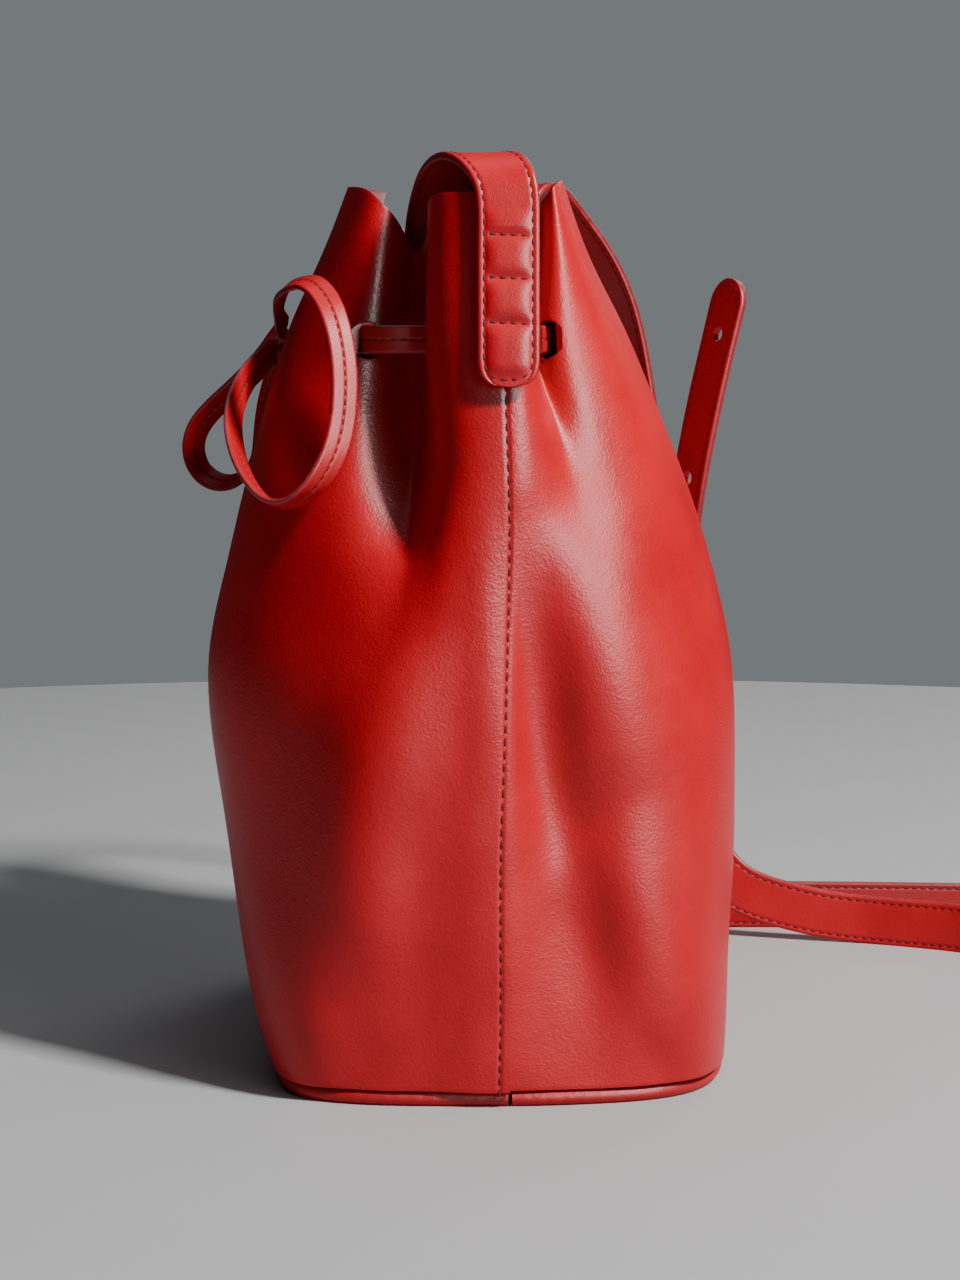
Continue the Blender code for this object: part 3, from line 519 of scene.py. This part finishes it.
RED = (0.46, 0.0010, 0.0080)
WALL_LEATHER = leather("wall leather", RED, 0.40, cell=0.85, grain=0.20, creases=0.13)
BASE_LEATHER = leather("base leather", [c * 0.85 for c in RED], 0.45, cell=0.85)
STRAP_LEATHER = leather("strap leather", RED, 0.40, cell=0.7, grain=0.12, creases=0.08)
STRAP_BACK = leather("strap lining", [c * 0.72 for c in RED], 0.5, cell=0.8, grain=0.16)
LACE_LEATHER = leather("lace leather", [c * 0.92 for c in RED], 0.42, cell=0.6, grain=0.10)
SUEDE = suede("inner side", (0.22, 0.005, 0.010))
EDGE_PAINT = plain("edge paint", (0.27, 0.004, 0.011), 0.42, (0.82, 1.1, 420.0, 0.36, 0.52))
THREAD = thread("thread", (0.13, 0.002, 0.006))
BOARD = plain("board", (0.20, 0.13, 0.08), 0.88, (0.7, 1.2, 320.0, 0.8, 0.95))
BRASS = plain("brass", (0.83, 0.62, 0.30), 0.25, (0.85, 1.05, 500.0, 0.18, 0.34), 1.0)

# Mesh helpers -------------------------------------------------------------------------


def shade_smooth(mesh, sharp):
    """Smooth shading, with edges over the sharp angle (degrees) kept crisp."""
    mesh.polygons.foreach_set("use_smooth", [True] * len(mesh.polygons))
    mesh.set_sharp_from_angle(angle=math.radians(sharp))


def new_object(name, verts, faces, materials, kinds=None, sharp=38):
    """A mesh from millimetre points; kinds gives each face's material."""
    mesh = bpy.data.meshes.new(name)
    mesh.from_pydata((np.asarray(verts, float) * MM).tolist(), [], faces)
    for material in materials:
        mesh.materials.append(material)
    if kinds is not None:
        mesh.polygons.foreach_set("material_index", np.asarray(kinds, np.int32))
    mesh.update()
    bm = bmesh.new()
    bm.from_mesh(mesh)
    bmesh.ops.recalc_face_normals(bm, faces=bm.faces)
    bm.to_mesh(mesh)
    bm.free()
    shade_smooth(mesh, sharp)
    obj = bpy.data.objects.new(name, mesh)
    scene.collection.objects.link(obj)
    return obj


def bake(obj, sharp=38):
    """Apply an object's modifiers."""
    bpy.context.view_layer.update()
    made = bpy.data.meshes.new_from_object(
        obj.evaluated_get(bpy.context.evaluated_depsgraph_get()))
    obj.modifiers.clear()
    obj.data = made
    shade_smooth(made, sharp)


def bore(obj, spots, radius, depth=5.0, sides=40):
    """Cut round holes at (point, direction) pairs."""
    for centre, direction in spots:
        turn = Vector(direction).to_track_quat("Z", "Y").to_matrix().to_4x4()
        place = Matrix.Translation([float(c) * MM for c in centre]) @ turn
        bm = bmesh.new()
        bmesh.ops.create_cone(bm, cap_ends=True, segments=sides, radius1=radius * MM,
                              radius2=radius * MM, depth=depth * MM, matrix=place)
        mesh = bpy.data.meshes.new("cutter")
        bm.to_mesh(mesh)
        bm.free()
        cutter = bpy.data.objects.new("cutter", mesh)
        scene.collection.objects.link(cutter)
        cut = obj.modifiers.new("hole", "BOOLEAN")
        cut.operation, cut.solver, cut.object = "DIFFERENCE", "EXACT", cutter
        bake(obj)
        bpy.data.objects.remove(cutter, do_unlink=True)


def grid_faces(wide, tall, start=0):
    return [(start + j * wide + i, start + j * wide + i + 1,
             start + (j + 1) * wide + i + 1, start + (j + 1) * wide + i)
            for j in range(tall - 1) for i in range(wide - 1)]


def tube_faces(rings, sides, start=0):
    """The faces of a tube through rings of points, with a cap on each end."""
    faces = []
    for i in range(rings - 1):
        for k in range(sides):
            a, b = start + i * sides + k, start + i * sides + (k + 1) % sides
            faces.append((a, b, b + sides, a + sides))
    end = start + (rings - 1) * sides
    return faces + [tuple(range(start, start + sides)), tuple(range(end, end + sides))]


# Stitches -----------------------------------------------------------------------------


def along(points):
    """Running length of a polyline."""
    steps = np.linalg.norm(np.diff(points, axis=0), axis=1)
    return np.concatenate([[0.0], np.cumsum(steps)])


def stitch_row(points, normals, pitch, share=0.74, radius=0.42):
    """Small rounded stitches along a line on a surface: their points and faces."""
    points, normals = np.asarray(points, float), unit(np.asarray(normals, float))
    run = along(points)
    count = max(1, int(round(run[-1] / pitch)))
    pitch = run[-1] / count
    verts, faces = [], []
    sides = 6
    shape = ((0.0, 0.35, -0.45), (0.14, 0.85, 0.0), (0.5, 1.0, 0.28), (0.86, 0.85, 0.0),
             (1.0, 0.35, -0.45))

    def at(table, s):
        return np.array([np.interp(s, run, table[:, k]) for k in range(3)])

    for n in range(count):
        first = (n + (1 - share) / 2) * pitch
        ahead = unit(at(points, first + share * pitch) - at(points, first))
        start = len(verts)
        for where, thick, lift in shape:
            s = first + where * share * pitch
            up = unit(at(normals, s))
            side = unit(np.cross(ahead, up))
            centre = at(points, s) + up * (radius * lift)
            for k in range(sides):
                turn = 2 * math.pi * k / sides
                verts.append(centre + (side * math.cos(turn) * 1.1 + up * math.sin(turn) * 0.8)
                             * radius * thick)
        faces += tube_faces(len(shape), sides, start)
    return verts, faces


def stitches(name, rows, pitch, **more):
    """One piece with several rows of stitches, each row (points, normals)."""
    verts, faces = [], []
    for points, normals in rows:
        row_verts, row_faces = stitch_row(points, normals, pitch, **more)
        faces += [tuple(i + len(verts) for i in face) for face in row_faces]
        verts += row_verts
    return new_object(name, verts, faces, [THREAD], sharp=60)


# Walls --------------------------------------------------------------------------------


def wall_rows():
    """Heights of the wall's rows, closer together near the foot and the rim."""
    return np.concatenate([np.linspace(WALL_FOOT, 30, 16), np.arange(31.5, 296, 1.9),
                           np.linspace(297, RIM_SIDE, 6)])


def wall_columns(first, last, dense):
    """Places from first to last, closer together inside the dense spans."""
    places, u = [first], first
    while u < last - 1e-6:
        fine = any(low <= u < high for low, high in dense)
        u = min(u + (0.035 if fine else 0.11), last)
        places.append(u)
    return np.array(places)


STITCH_INSET = 3.6
SEAM_PITCH = 4.3
CHANNEL_WIDTH, CHANNEL_DEPTH, STITCH_DIP = 0.075, 0.32, 0.12


def seam_place(z):
    """The outline place of the stitch line, STITCH_INSET before the lap's edge."""
    places = np.linspace(SEAM - 0.8, SEAM, 41)
    line = wall_at(places, np.full(41, z))
    run = along(line)
    return float(np.interp(run[-1] - STITCH_INSET, run, places))


def wall_sheet(name, places, heights, out_of, hole_spots):
    """A leather wall with its inner side, from outline places and heights."""
    u, z = np.meshgrid(places, heights)
    out = out_of(u, z)
    outer = wall_at(u, z, out)
    inner = wall_at(u, z, np.minimum(out, lap_step(u) * (out > 0)) - LEATHER)
    wide, tall = len(places), len(heights)
    count = wide * tall
    verts = np.concatenate([outer.reshape(-1, 3), inner.reshape(-1, 3)])
    faces = grid_faces(wide, tall)
    kinds = [0] * len(faces)
    back = [tuple(reversed(face)) for face in grid_faces(wide, tall, count)]
    faces += back
    kinds += [1] * len(back)
    ring = list(range(wide)) + [j * wide + wide - 1 for j in range(1, tall)]
    ring += [(tall - 1) * wide + i for i in range(wide - 2, -1, -1)]
    ring += [j * wide for j in range(tall - 2, 0, -1)]
    for a, b in zip(ring, ring[1:] + ring[:1]):
        faces.append((b, a, count + a, count + b))
        kinds.append(2)
    obj = new_object(name, verts, faces, [WALL_LEATHER, SUEDE, EDGE_PAINT], kinds)
    bore(obj, hole_spots, HOLE_RADIUS)
    soft = obj.modifiers.new("edge", "BEVEL")
    soft.width, soft.segments, soft.limit_method = 0.45 * MM, 2, "ANGLE"
    soft.angle_limit = math.radians(50)
    bake(obj)
    return obj


def hole_spot(u):
    """A punched hole's centre and direction, at the lace's height after the rim's dip."""
    place = abs(u) if abs(u) <= BACK else RING - abs(u)
    z = LACE_Z * RIM_SIDE / rim_height(place)
    return wall_at(np.array([u]), np.array([z]))[0], sample(WALL_NORMAL, u, z)


def front_out(u, z):
    """The front leather's rise at the lap, with the channel that the seam's thread pulls in."""
    lines = np.interp(z, SEAM_LINE[:, 0], SEAM_LINE[:, 1])
    channel = np.exp(-((np.abs(u) - lines) / CHANNEL_WIDTH) ** 2)
    pull = 0.5 + 0.5 * np.cos(2 * math.pi * z / SEAM_PITCH)
    return lap_step(u) - channel * (CHANNEL_DEPTH + STITCH_DIP * pull)


def back_out(u, z):
    """The back leather lies on the wall's own surface."""
    return np.zeros_like(u)


SEAM_LINE = np.array([(z, seam_place(z)) for z in np.linspace(0, RIM_SIDE, 60)])
ROWS = wall_rows()
front_places = wall_columns(-SEAM, SEAM, ((-SEAM, -10.2), (10.2, SEAM)))
back_places = wall_columns(UNDER_START, RING - UNDER_START, ())
front_holes = [hole_spot(side * u) for side in (-1, 1) for u in (*HOLES_FRONT, HOLE_SIDE_FRONT)]
back_holes = [hole_spot(u) for u in (HOLE_SIDE_BACK, HOLE_BACK, RING - HOLE_BACK,
                                     RING - HOLE_SIDE_BACK)]
wall_front = wall_sheet("wall_front", front_places, ROWS, front_out, front_holes)
wall_back = wall_sheet("wall_back", back_places, ROWS, back_out, back_holes)


def seam_rows(side):
    """The thread's path up one side seam, near (1) or far (-1)."""
    z = np.arange(3.5, 302, 1.0)
    lines = np.interp(z, SEAM_LINE[:, 0], SEAM_LINE[:, 1]) * side
    out = LAP_STEP - 0.30
    return wall_at(lines, z, np.full(len(z), out)), sample(WALL_NORMAL, lines, z)


seam_near = stitches("seam_stitches_near", [seam_rows(1)], SEAM_PITCH)
seam_far = stitches("seam_stitches_far", [seam_rows(-1)], SEAM_PITCH)

# Welt ---------------------------------------------------------------------------------


def welt(name, first, last):
    """The rolled edge round half of the base, slightly uneven as leather over cord is."""
    places = np.arange(first, last, 0.06)
    foot = np.zeros(len(places))
    line = sample(SMOOTH_WALL, places, foot)
    normal = sample(WALL_NORMAL, places, foot)
    normal[:, 2] = 0
    line = line - unit(normal) * WELT_INSET
    line[:, 2] = WELT_RADIUS
    ahead = unit(np.gradient(line, axis=0))
    side = unit(np.cross(ahead, (0, 0, 1)))
    run = along(line)
    sides = 18
    verts = []
    for i in range(len(line)):
        wave = 1 - 0.03 * (0.5 + 0.5 * math.sin(run[i] * 2 * math.pi / 5.2))
        for k in range(sides):
            turn = 2 * math.pi * k / sides
            radius = WELT_RADIUS * wave
            if 0.15 < turn / math.pi < 0.85:
                radius = WELT_RADIUS
            verts.append(line[i] + side[i] * radius * math.cos(turn)
                         + np.array((0, 0, radius * math.sin(turn))))
    return new_object(name, verts, tube_faces(len(line), sides), [BASE_LEATHER], sharp=60)


welt_front = welt("welt_roll_front", -SEAM, SEAM)
welt_back = welt("welt_roll_back", SEAM + 0.1, RING - SEAM - 0.1)

# Bands: straps and laces --------------------------------------------------------------


class Line:
    """A route made smooth: points, width direction and outward direction every half mm."""

    def __init__(self, route, spacing=0.5, sigma=5.0, facing=1):
        route = np.array(route, float)
        dense = basis(len(route), np.linspace(0, len(route) - 1, len(route) * 40)) @ route
        run = along(dense[:, :3])
        count = int(run[-1] / spacing) + 1
        even = np.linspace(0, run[-1], count)
        table = np.stack([np.interp(even, run, dense[:, k]) for k in range(6)], axis=1)
        table = soften(table, sigma / (even[1] - even[0]))
        self.points = table[:, :3]
        self.run = along(self.points)
        self.length = self.run[-1]
        self.ahead = unit(np.gradient(self.points, axis=0))
        wide = table[:, 3:]
        wide = wide - self.ahead * np.sum(wide * self.ahead, axis=1, keepdims=True)
        self.wide = unit(wide)
        self.out = np.cross(self.ahead, self.wide) * facing

    def at(self, table, s):
        return np.stack([np.interp(s, self.run, table[:, k]) for k in range(3)], axis=-1)

    def place(self, s, across, out):
        """Points at distances s along, across the width and out of the middle plane."""
        return (self.at(self.points, s) + self.at(self.wide, s) * np.asarray(across)[..., None]
                + self.at(self.out, s) * np.asarray(out)[..., None])


FACE, RIM, INNER = 0, 1, 2   # the materials of a band's zones
GROOVE_DEPTH, GROOVE_WIDTH, CROWN = 0.24, 0.42, 0.09


def half_profile(width, thick, line):
    """Half a band's section as (across, out, zone), with a groove under its stitch line."""
    half, top = width / 2, thick / 2
    section = []
    for a in np.linspace(0, half - 1.0, 22):
        dip = GROOVE_DEPTH * math.exp(-((a - line) / GROOVE_WIDTH) ** 2)
        section.append((a, top - dip - CROWN * (a / half) ** 2, FACE))
    section += [(half - 0.55, top - 0.22, FACE), (half - 0.2, top - 0.5, RIM),
                (half - 0.02, top - 0.95, RIM), (half, 0.12, RIM), (half - 0.14, 0.0, RIM)]
    return section


def full_profile(width, thick, line):
    """The closed section: up the outer face, round the edge and back along the inner one."""
    outer = half_profile(width, thick, line)
    upper = [(-a, o, zone) for a, o, zone in reversed(outer[1:])] + outer
    lower = [(a, -o, INNER if zone == FACE else RIM) for a, o, zone in reversed(upper)]
    return upper + lower[1:-1]


# How square a rounded end is (2 is a half circle), and the stitches' distance to the edge.
TAB_CORNER, TIP_CORNER = 2.8, 2.0
STITCH_EDGE = 2.3
# Stitches that turn across an end lie on the face, which has no groove there.
TURN_RISE = 0.27


def band(name, line, section, materials, first=0.0, last=None, round_first=False,
         round_last=False, puff=None, spacing=1.2):
    """A strap between two distances on a line."""
    last = line.length if last is None else last
    half = max(a for a, _, _ in section)
    stations = list(np.linspace(first, last, max(3, int((last - first) / spacing))))
    curve = half * (1 - np.cos(np.linspace(0.02, math.pi / 2, 12)))
    if round_first:
        stations = [first + c for c in curve] + [s for s in stations if s > first + half]
    if round_last:
        stations = [s for s in stations if s < last - half] + [last - c for c in curve[::-1]]
    stations = np.array(stations)
    shrink = np.ones(len(stations))
    for rounded, gap, power in ((round_first, stations - first, TAB_CORNER),
                                (round_last, last - stations, TIP_CORNER)):
        if rounded:
            near = np.clip(1 - gap / half, 0, 1)
            shrink = np.minimum(shrink, np.maximum(1 - near ** power, 1e-4) ** (1 / power))
    verts, count = [], len(section)
    for a, o, zone in section:
        out = np.full(len(stations), o)
        if puff is not None and zone == FACE and o > 0:
            out = out + puff(stations, a)
        verts.append(line.place(stations, a * shrink, out))
    verts = np.swapaxes(np.array(verts), 0, 1).reshape(-1, 3)
    zones = [zone for _, _, zone in section]
    round_kinds = [RIM if RIM in pair else pair[0] for pair in zip(zones, zones[1:] + zones[:1])]
    kinds = round_kinds * (len(stations) - 1) + [RIM, RIM]
    faces = tube_faces(len(stations), count)
    return new_object(name, verts, faces, materials, kinds, sharp=50)


def edge_rows(line, first, last, face=1, round_first=False, round_last=False):
    """The stitch path round a strap: both sides, joined round its rounded end."""
    half = STRAP_WIDTH / 2
    reach = half - STITCH_EDGE
    side = np.arange(first + (half if round_first else 0),
                     last - (half if round_last else 0), 0.8)
    right = [(s, reach) for s in side]
    left = [(s, -reach) for s in side[::-1]]
    turn = np.linspace(0, math.pi, 30)[1:-1]
    tip = [(last - half + reach * math.sin(t), reach * math.cos(t)) for t in turn]
    curl = 2 / TAB_CORNER
    toe = [(first + half - reach * math.sin(t) ** curl,
            -reach * math.copysign(abs(math.cos(t)) ** curl, math.cos(t))) for t in turn]
    s, across = np.array(right + tip + left if round_last else left + toe + right).T
    rise = LIFT + TURN_RISE * (1 - np.abs(across) / reach)
    return [(line.place(s, across, rise * face), line.at(line.out, s) * face)]


STRAP = full_profile(STRAP_WIDTH, STRAP_THICK, STRAP_WIDTH / 2 - STITCH_EDGE)
STRAP_SKIN = [STRAP_LEATHER, EDGE_PAINT, STRAP_BACK]
STRAP_STITCH = 3.7
LIFT = STRAP_THICK / 2 - 0.30
TAB_PLACE, TAB_Y = 10.75, 1.0


def tab_route(side, heights):
    """The strap's route up the ridge over the side seam."""
    entries = []
    for z in heights:
        x, _, high = wall_at(np.array([side * TAB_PLACE]), np.array([float(z)]),
                             np.array([STRAP_LIFT + LAP_STEP]))[0]
        entries.append((x, TAB_Y, high, 0, 1, 0))
    return tuple(entries)


PILLOW_RISE, PILLOW_HALF = 1.25, 7.4
STITCH_PULL, WRINKLE, WRINKLE_PITCH = 0.28, 0.16, 1.9


def pillows(rows):
    """A puffed surface between cross rows of stitching at given distances."""
    marks = np.array(rows, float)

    def puff(s, across):
        gap = np.min(np.abs(s[:, None] - marks[None, :]), axis=1)
        span = np.clip(1 - (abs(across) / PILLOW_HALF) ** 4, 0, 1)
        pull = STITCH_PULL * np.exp(-(gap / 0.8) ** 2)
        rise = PILLOW_RISE * (1 - np.exp(-(gap / 2.6) ** 1.6)) - pull
        wrinkles = WRINKLE * np.sin(s * 2 * math.pi / WRINKLE_PITCH)
        wrinkles = wrinkles * bump(s, marks[-1] + 3.6, 2.8)
        top_fade = np.clip((marks[-1] + 9 - s) / 8, 0, 1)
        foot_fade = np.clip((s - STITCH_EDGE - 0.7) / 3.2, 0, 1)
        return rise * span * top_fade * foot_fade + wrinkles * span

    return puff


def cross_rows(line, rows):
    """Slightly slanting stitch lines across the tab, between its pillows."""
    across = np.linspace(-6.9, 6.9, 15)
    found = []
    for s in rows:
        where = s - across * 0.06
        lift = np.full(len(across), LIFT + 0.02)
        found.append((line.place(where, across, lift), line.at(line.out, where)))
    return found


def strap_pieces(stem, line, tab_end, rows):
    """The sewn tab and the free strap of one line, each with its stitches."""
    tab = band(f"{stem}_tab", line, STRAP, STRAP_SKIN, 0.0, tab_end, round_first=True,
               puff=pillows(rows), spacing=0.7)
    tab_rows = edge_rows(line, 0.0, tab_end, round_first=True) + cross_rows(line, rows)
    tab_thread = stitches(f"{stem}_tab_stitches", tab_rows, STRAP_STITCH)
    free = band(f"{stem}_strap", line, STRAP, STRAP_SKIN, tab_end, round_last=True,
                puff=pillows(rows), spacing=1.0)
    free_rows = []
    for face in (1, -1):
        free_rows += edge_rows(line, tab_end, line.length, face, round_last=True)
    free_thread = stitches(f"{stem}_strap_stitches", free_rows, STRAP_STITCH)
    return tab, tab_thread, free, free_thread


TAB_ROWS = (20.5, 35.0, 49.0)
near_line = Line(tab_route(1, SHORT_TAB_HEIGHTS) + SHORT_FREE, facing=-1)
far_line = Line(tab_route(-1, LONG_TAB_HEIGHTS) + LONG_FREE)
NEAR_TAB, FAR_TAB = 59.5, 57.5
near_tab, near_tab_thread, short_strap, short_thread = strap_pieces(
    "near", near_line, NEAR_TAB, TAB_ROWS)
far_tab, far_tab_thread, long_strap, long_thread = strap_pieces(
    "far", far_line, FAR_TAB, TAB_ROWS)


def strap_spot(line, from_end):
    """A hole's centre and direction, at a distance before a strap's end."""
    s = np.array([line.length - from_end])
    return line.at(line.points, s)[0], line.at(line.out, s)[0]


bore(long_strap, [strap_spot(far_line, gap) for gap in TAIL_HOLES], STRAP_HOLE, sides=28)
bore(short_strap, [(STUD_AT, (1.0, 0.0, 0.12))], 1.8, sides=24)

LACE = full_profile(LACE_WIDTH, LACE_THICK, 0.0)
LACE_SKIN = [LACE_LEATHER, EDGE_PAINT, LACE_LEATHER]
LACE_STITCH = 3.3


def mirrored(route):
    """A route on the bag's other side."""
    return tuple((-e[0], e[1], e[2], -e[3], e[4], e[5]) for e in route)


def lace(name, route):
    """A lace with its stitch line down the middle of each face."""
    line = Line(route, sigma=3.0)
    piece = band(name, line, LACE, LACE_SKIN, spacing=1.0)
    rows = []
    s = np.arange(1.0, line.length - 0.5, 0.8)
    lift = LACE_THICK / 2 - 0.28
    for face in (1, -1):
        rows.append((line.place(s, np.zeros(len(s)), np.full(len(s), lift * face)),
                     line.at(line.out, s) * face))
    sewn = stitches(f"{name}_stitches", rows, LACE_STITCH, radius=0.36)
    return piece, sewn, line


loop_near, loop_near_thread, loop_near_line = lace("bow_near", LOOP_NEAR)
loop_far, loop_far_thread, loop_far_line = lace("bow_far", LOOP_FAR)
end_near, end_near_thread, end_near_line = lace("end_near", LACE_END)
end_far, end_far_thread, end_far_line = lace("end_far", mirrored(LACE_END))
string_near, string_near_thread, _ = lace("string_near", LACE_FRONT + LACE_SIDE)
string_far, string_far_thread, _ = lace("string_far", mirrored(LACE_FRONT + LACE_SIDE))
string_back, string_back_thread, _ = lace("string_back",
                                          LACE_BACK + mirrored(LACE_BACK)[-2::-1])


def make_knot():
    """The knot: a rounded core under a band that wraps over it."""
    x, y, z = KNOT_CENTRE
    bm = bmesh.new()
    bmesh.ops.create_icosphere(bm, subdivisions=4, radius=1.0)
    verts = []
    for vert in bm.verts:
        flat = [abs(c) ** 0.75 * math.copysign(1, c) for c in vert.co]
        pinch = 1 - 0.16 * math.exp(-(vert.co[0] / 0.35) ** 2)
        verts.append((x + flat[0] * KNOT_HALF[0], y + flat[1] * (KNOT_HALF[1] - 1.2) * pinch,
                      z + flat[2] * (KNOT_HALF[2] - 1.4) * pinch))
    faces = [tuple(v.index for v in face.verts) for face in bm.faces]
    bm.free()
    core = new_object("knot_core", verts, faces, [LACE_LEATHER], sharp=80)
    turn = np.linspace(0, 2 * math.pi, 15)
    route = [(x + 1.0 * math.sin(t), y - (KNOT_HALF[1] - 1.0) * math.cos(t),
              z + (KNOT_HALF[2] - 1.0) * math.sin(t), 1, 0, 0.12 * math.cos(t)) for t in turn]
    line = Line(route, sigma=0.8)
    wrap = band("knot_wrap", line, LACE, LACE_SKIN, spacing=0.7)
    return core, wrap


knot_core, knot_wrap = make_knot()


def make_stud():
    """A ball-headed button stud through the strap's end."""
    profiles = {
        "stud_button": ((0.4, 10.15), (1.3, 10.0), (2.3, 9.5), (3.0, 8.6), (3.3, 7.6),
                        (3.25, 6.8), (2.8, 5.95), (2.1, 5.4), (1.55, 5.0), (1.5, 4.2),
                        (1.5, 3.3), (1.8, 3.15), (3.9, 3.0), (4.2, 2.75), (4.2, 2.1)),
        "stud_foot": ((1.45, 1.9), (1.45, -2.05), (3.9, -2.1), (4.2, -2.35), (4.2, -2.7),
                      (3.9, -2.9), (1.2, -2.9), (1.1, -2.6)),
    }
    made = []
    turn = Vector((-1.0, 0.0, -0.12)).to_track_quat("Z", "Y")
    sides = 36
    for name, profile in profiles.items():
        verts = []
        for radius, high in profile:
            for k in range(sides):
                angle = 2 * math.pi * k / sides
                spot = turn @ Vector((radius * math.cos(angle), radius * math.sin(angle), high))
                verts.append(spot + Vector(STUD_AT))
        made.append(new_object(name, verts, tube_faces(len(profile), sides), [BRASS], sharp=45))
    return made


stud_button, stud_foot = make_stud()

# Pieces on the frame ------------------------------------------------------------------

RIDES = {
    "bucket": (welt_front, welt_back, near_tab, near_tab_thread, far_tab, far_tab_thread,
               long_strap, long_thread),
    "front_wall": (knot_core, knot_wrap),
    "back_wall": (string_back, string_back_thread),
    "loop_near": (loop_near, loop_near_thread),
    "loop_far": (loop_far, loop_far_thread),
    "end_near": (end_near, end_near_thread),
    "end_far": (end_far, end_far_thread),
    "short_strap": (stud_button, stud_foot),
}
for body, pieces in RIDES.items():
    for piece in pieces:
        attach(piece, body)

# Pieces on no body: their placement is baked into their meshes.
for piece in (wall_front, seam_near, seam_far, string_near, string_near_thread, string_far,
              string_far_thread):
    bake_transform(piece)
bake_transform(wall_back)
for piece in (short_strap, short_thread):
    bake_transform(piece)

# Each piece, the name of its look slot, which nothing applies, and the CAD nodes it stands for,
# which are hidden.
LOOKS = (
    (wall_front, "wall_leather", "front_panel", "front_gusset_near", "front_gusset_far"),
    (wall_back, "wall_leather", "back_panel", "back_gusset_near", "back_gusset_far"),
    (welt_front, "base_leather", "welt_front"),
    (welt_back, "base_leather", "welt_back"),
    (near_tab, "strap_leather", "tab_near_outer", "tab_near_lining"),
    (far_tab, "strap_leather"),
    (short_strap, "strap_leather", "short_strap_outer", "short_strap_lining"),
    (long_strap, "strap_leather", "long_strap"),
    (loop_near, "lace_leather", "bow_loop_near"),
    (loop_far, "lace_leather", "bow_loop_far"),
    (end_near, "lace_leather", "lace_end_near"),
    (end_far, "lace_leather", "lace_end_far"),
    (string_near, "lace_leather", "lace_front_near", "lace_side_near"),
    (string_far, "lace_leather", "lace_front_far", "lace_side_far"),
    (string_back, "lace_leather", "lace_back"),
    (knot_core, "lace_leather", "lace_knot"),
    (knot_wrap, "lace_leather"),
    (stud_button, "brass", "stud_head"),
    (stud_foot, "brass", "stud_screw"),
)
for piece, slot, *nodes_replaced in LOOKS:
    if nodes_replaced:
        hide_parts(*nodes_replaced)

for node, material in (("base_panel", BASE_LEATHER), ("base_board", BOARD),
                       ("patch_near", SUEDE), ("patch_far", SUEDE)):
    for material_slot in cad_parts[node].material_slots:
        material_slot.material = material


def declare(line, first=0.0):
    """Points along a line from a distance on, about every 2 mm; they are worked out and not
    used.
    """
    s = np.linspace(first, line.length, int((line.length - first) / 2) + 2)
    path = (line.at(line.points, s) * MM).tolist()


declare(far_line, FAR_TAB)
declare(near_line,
        NEAR_TAB)
declare(loop_near_line)
declare(loop_far_line)
declare(end_near_line)
declare(end_far_line)

# Floor --------------------------------------------------------------------------------

FLOOR_RADIUS, FLOOR_SIDES = 1.1, 180
FLOOR_GREY = (0.32, 0.33, 0.34)
floor_mesh = bpy.data.meshes.new("floor")
turns = [2 * math.pi * i / FLOOR_SIDES for i in range(FLOOR_SIDES)]
floor_mesh.from_pydata([(FLOOR_RADIUS * math.cos(t), FLOOR_RADIUS * math.sin(t), 0)
                        for t in turns], [], [tuple(range(FLOOR_SIDES))])
floor_mesh.materials.append(plain("floor", FLOOR_GREY, 0.8, (0.985, 1.01, 3.0, 0.78, 0.85)))
floor = bpy.data.objects.new("floor", floor_mesh)
scene.collection.objects.link(floor)
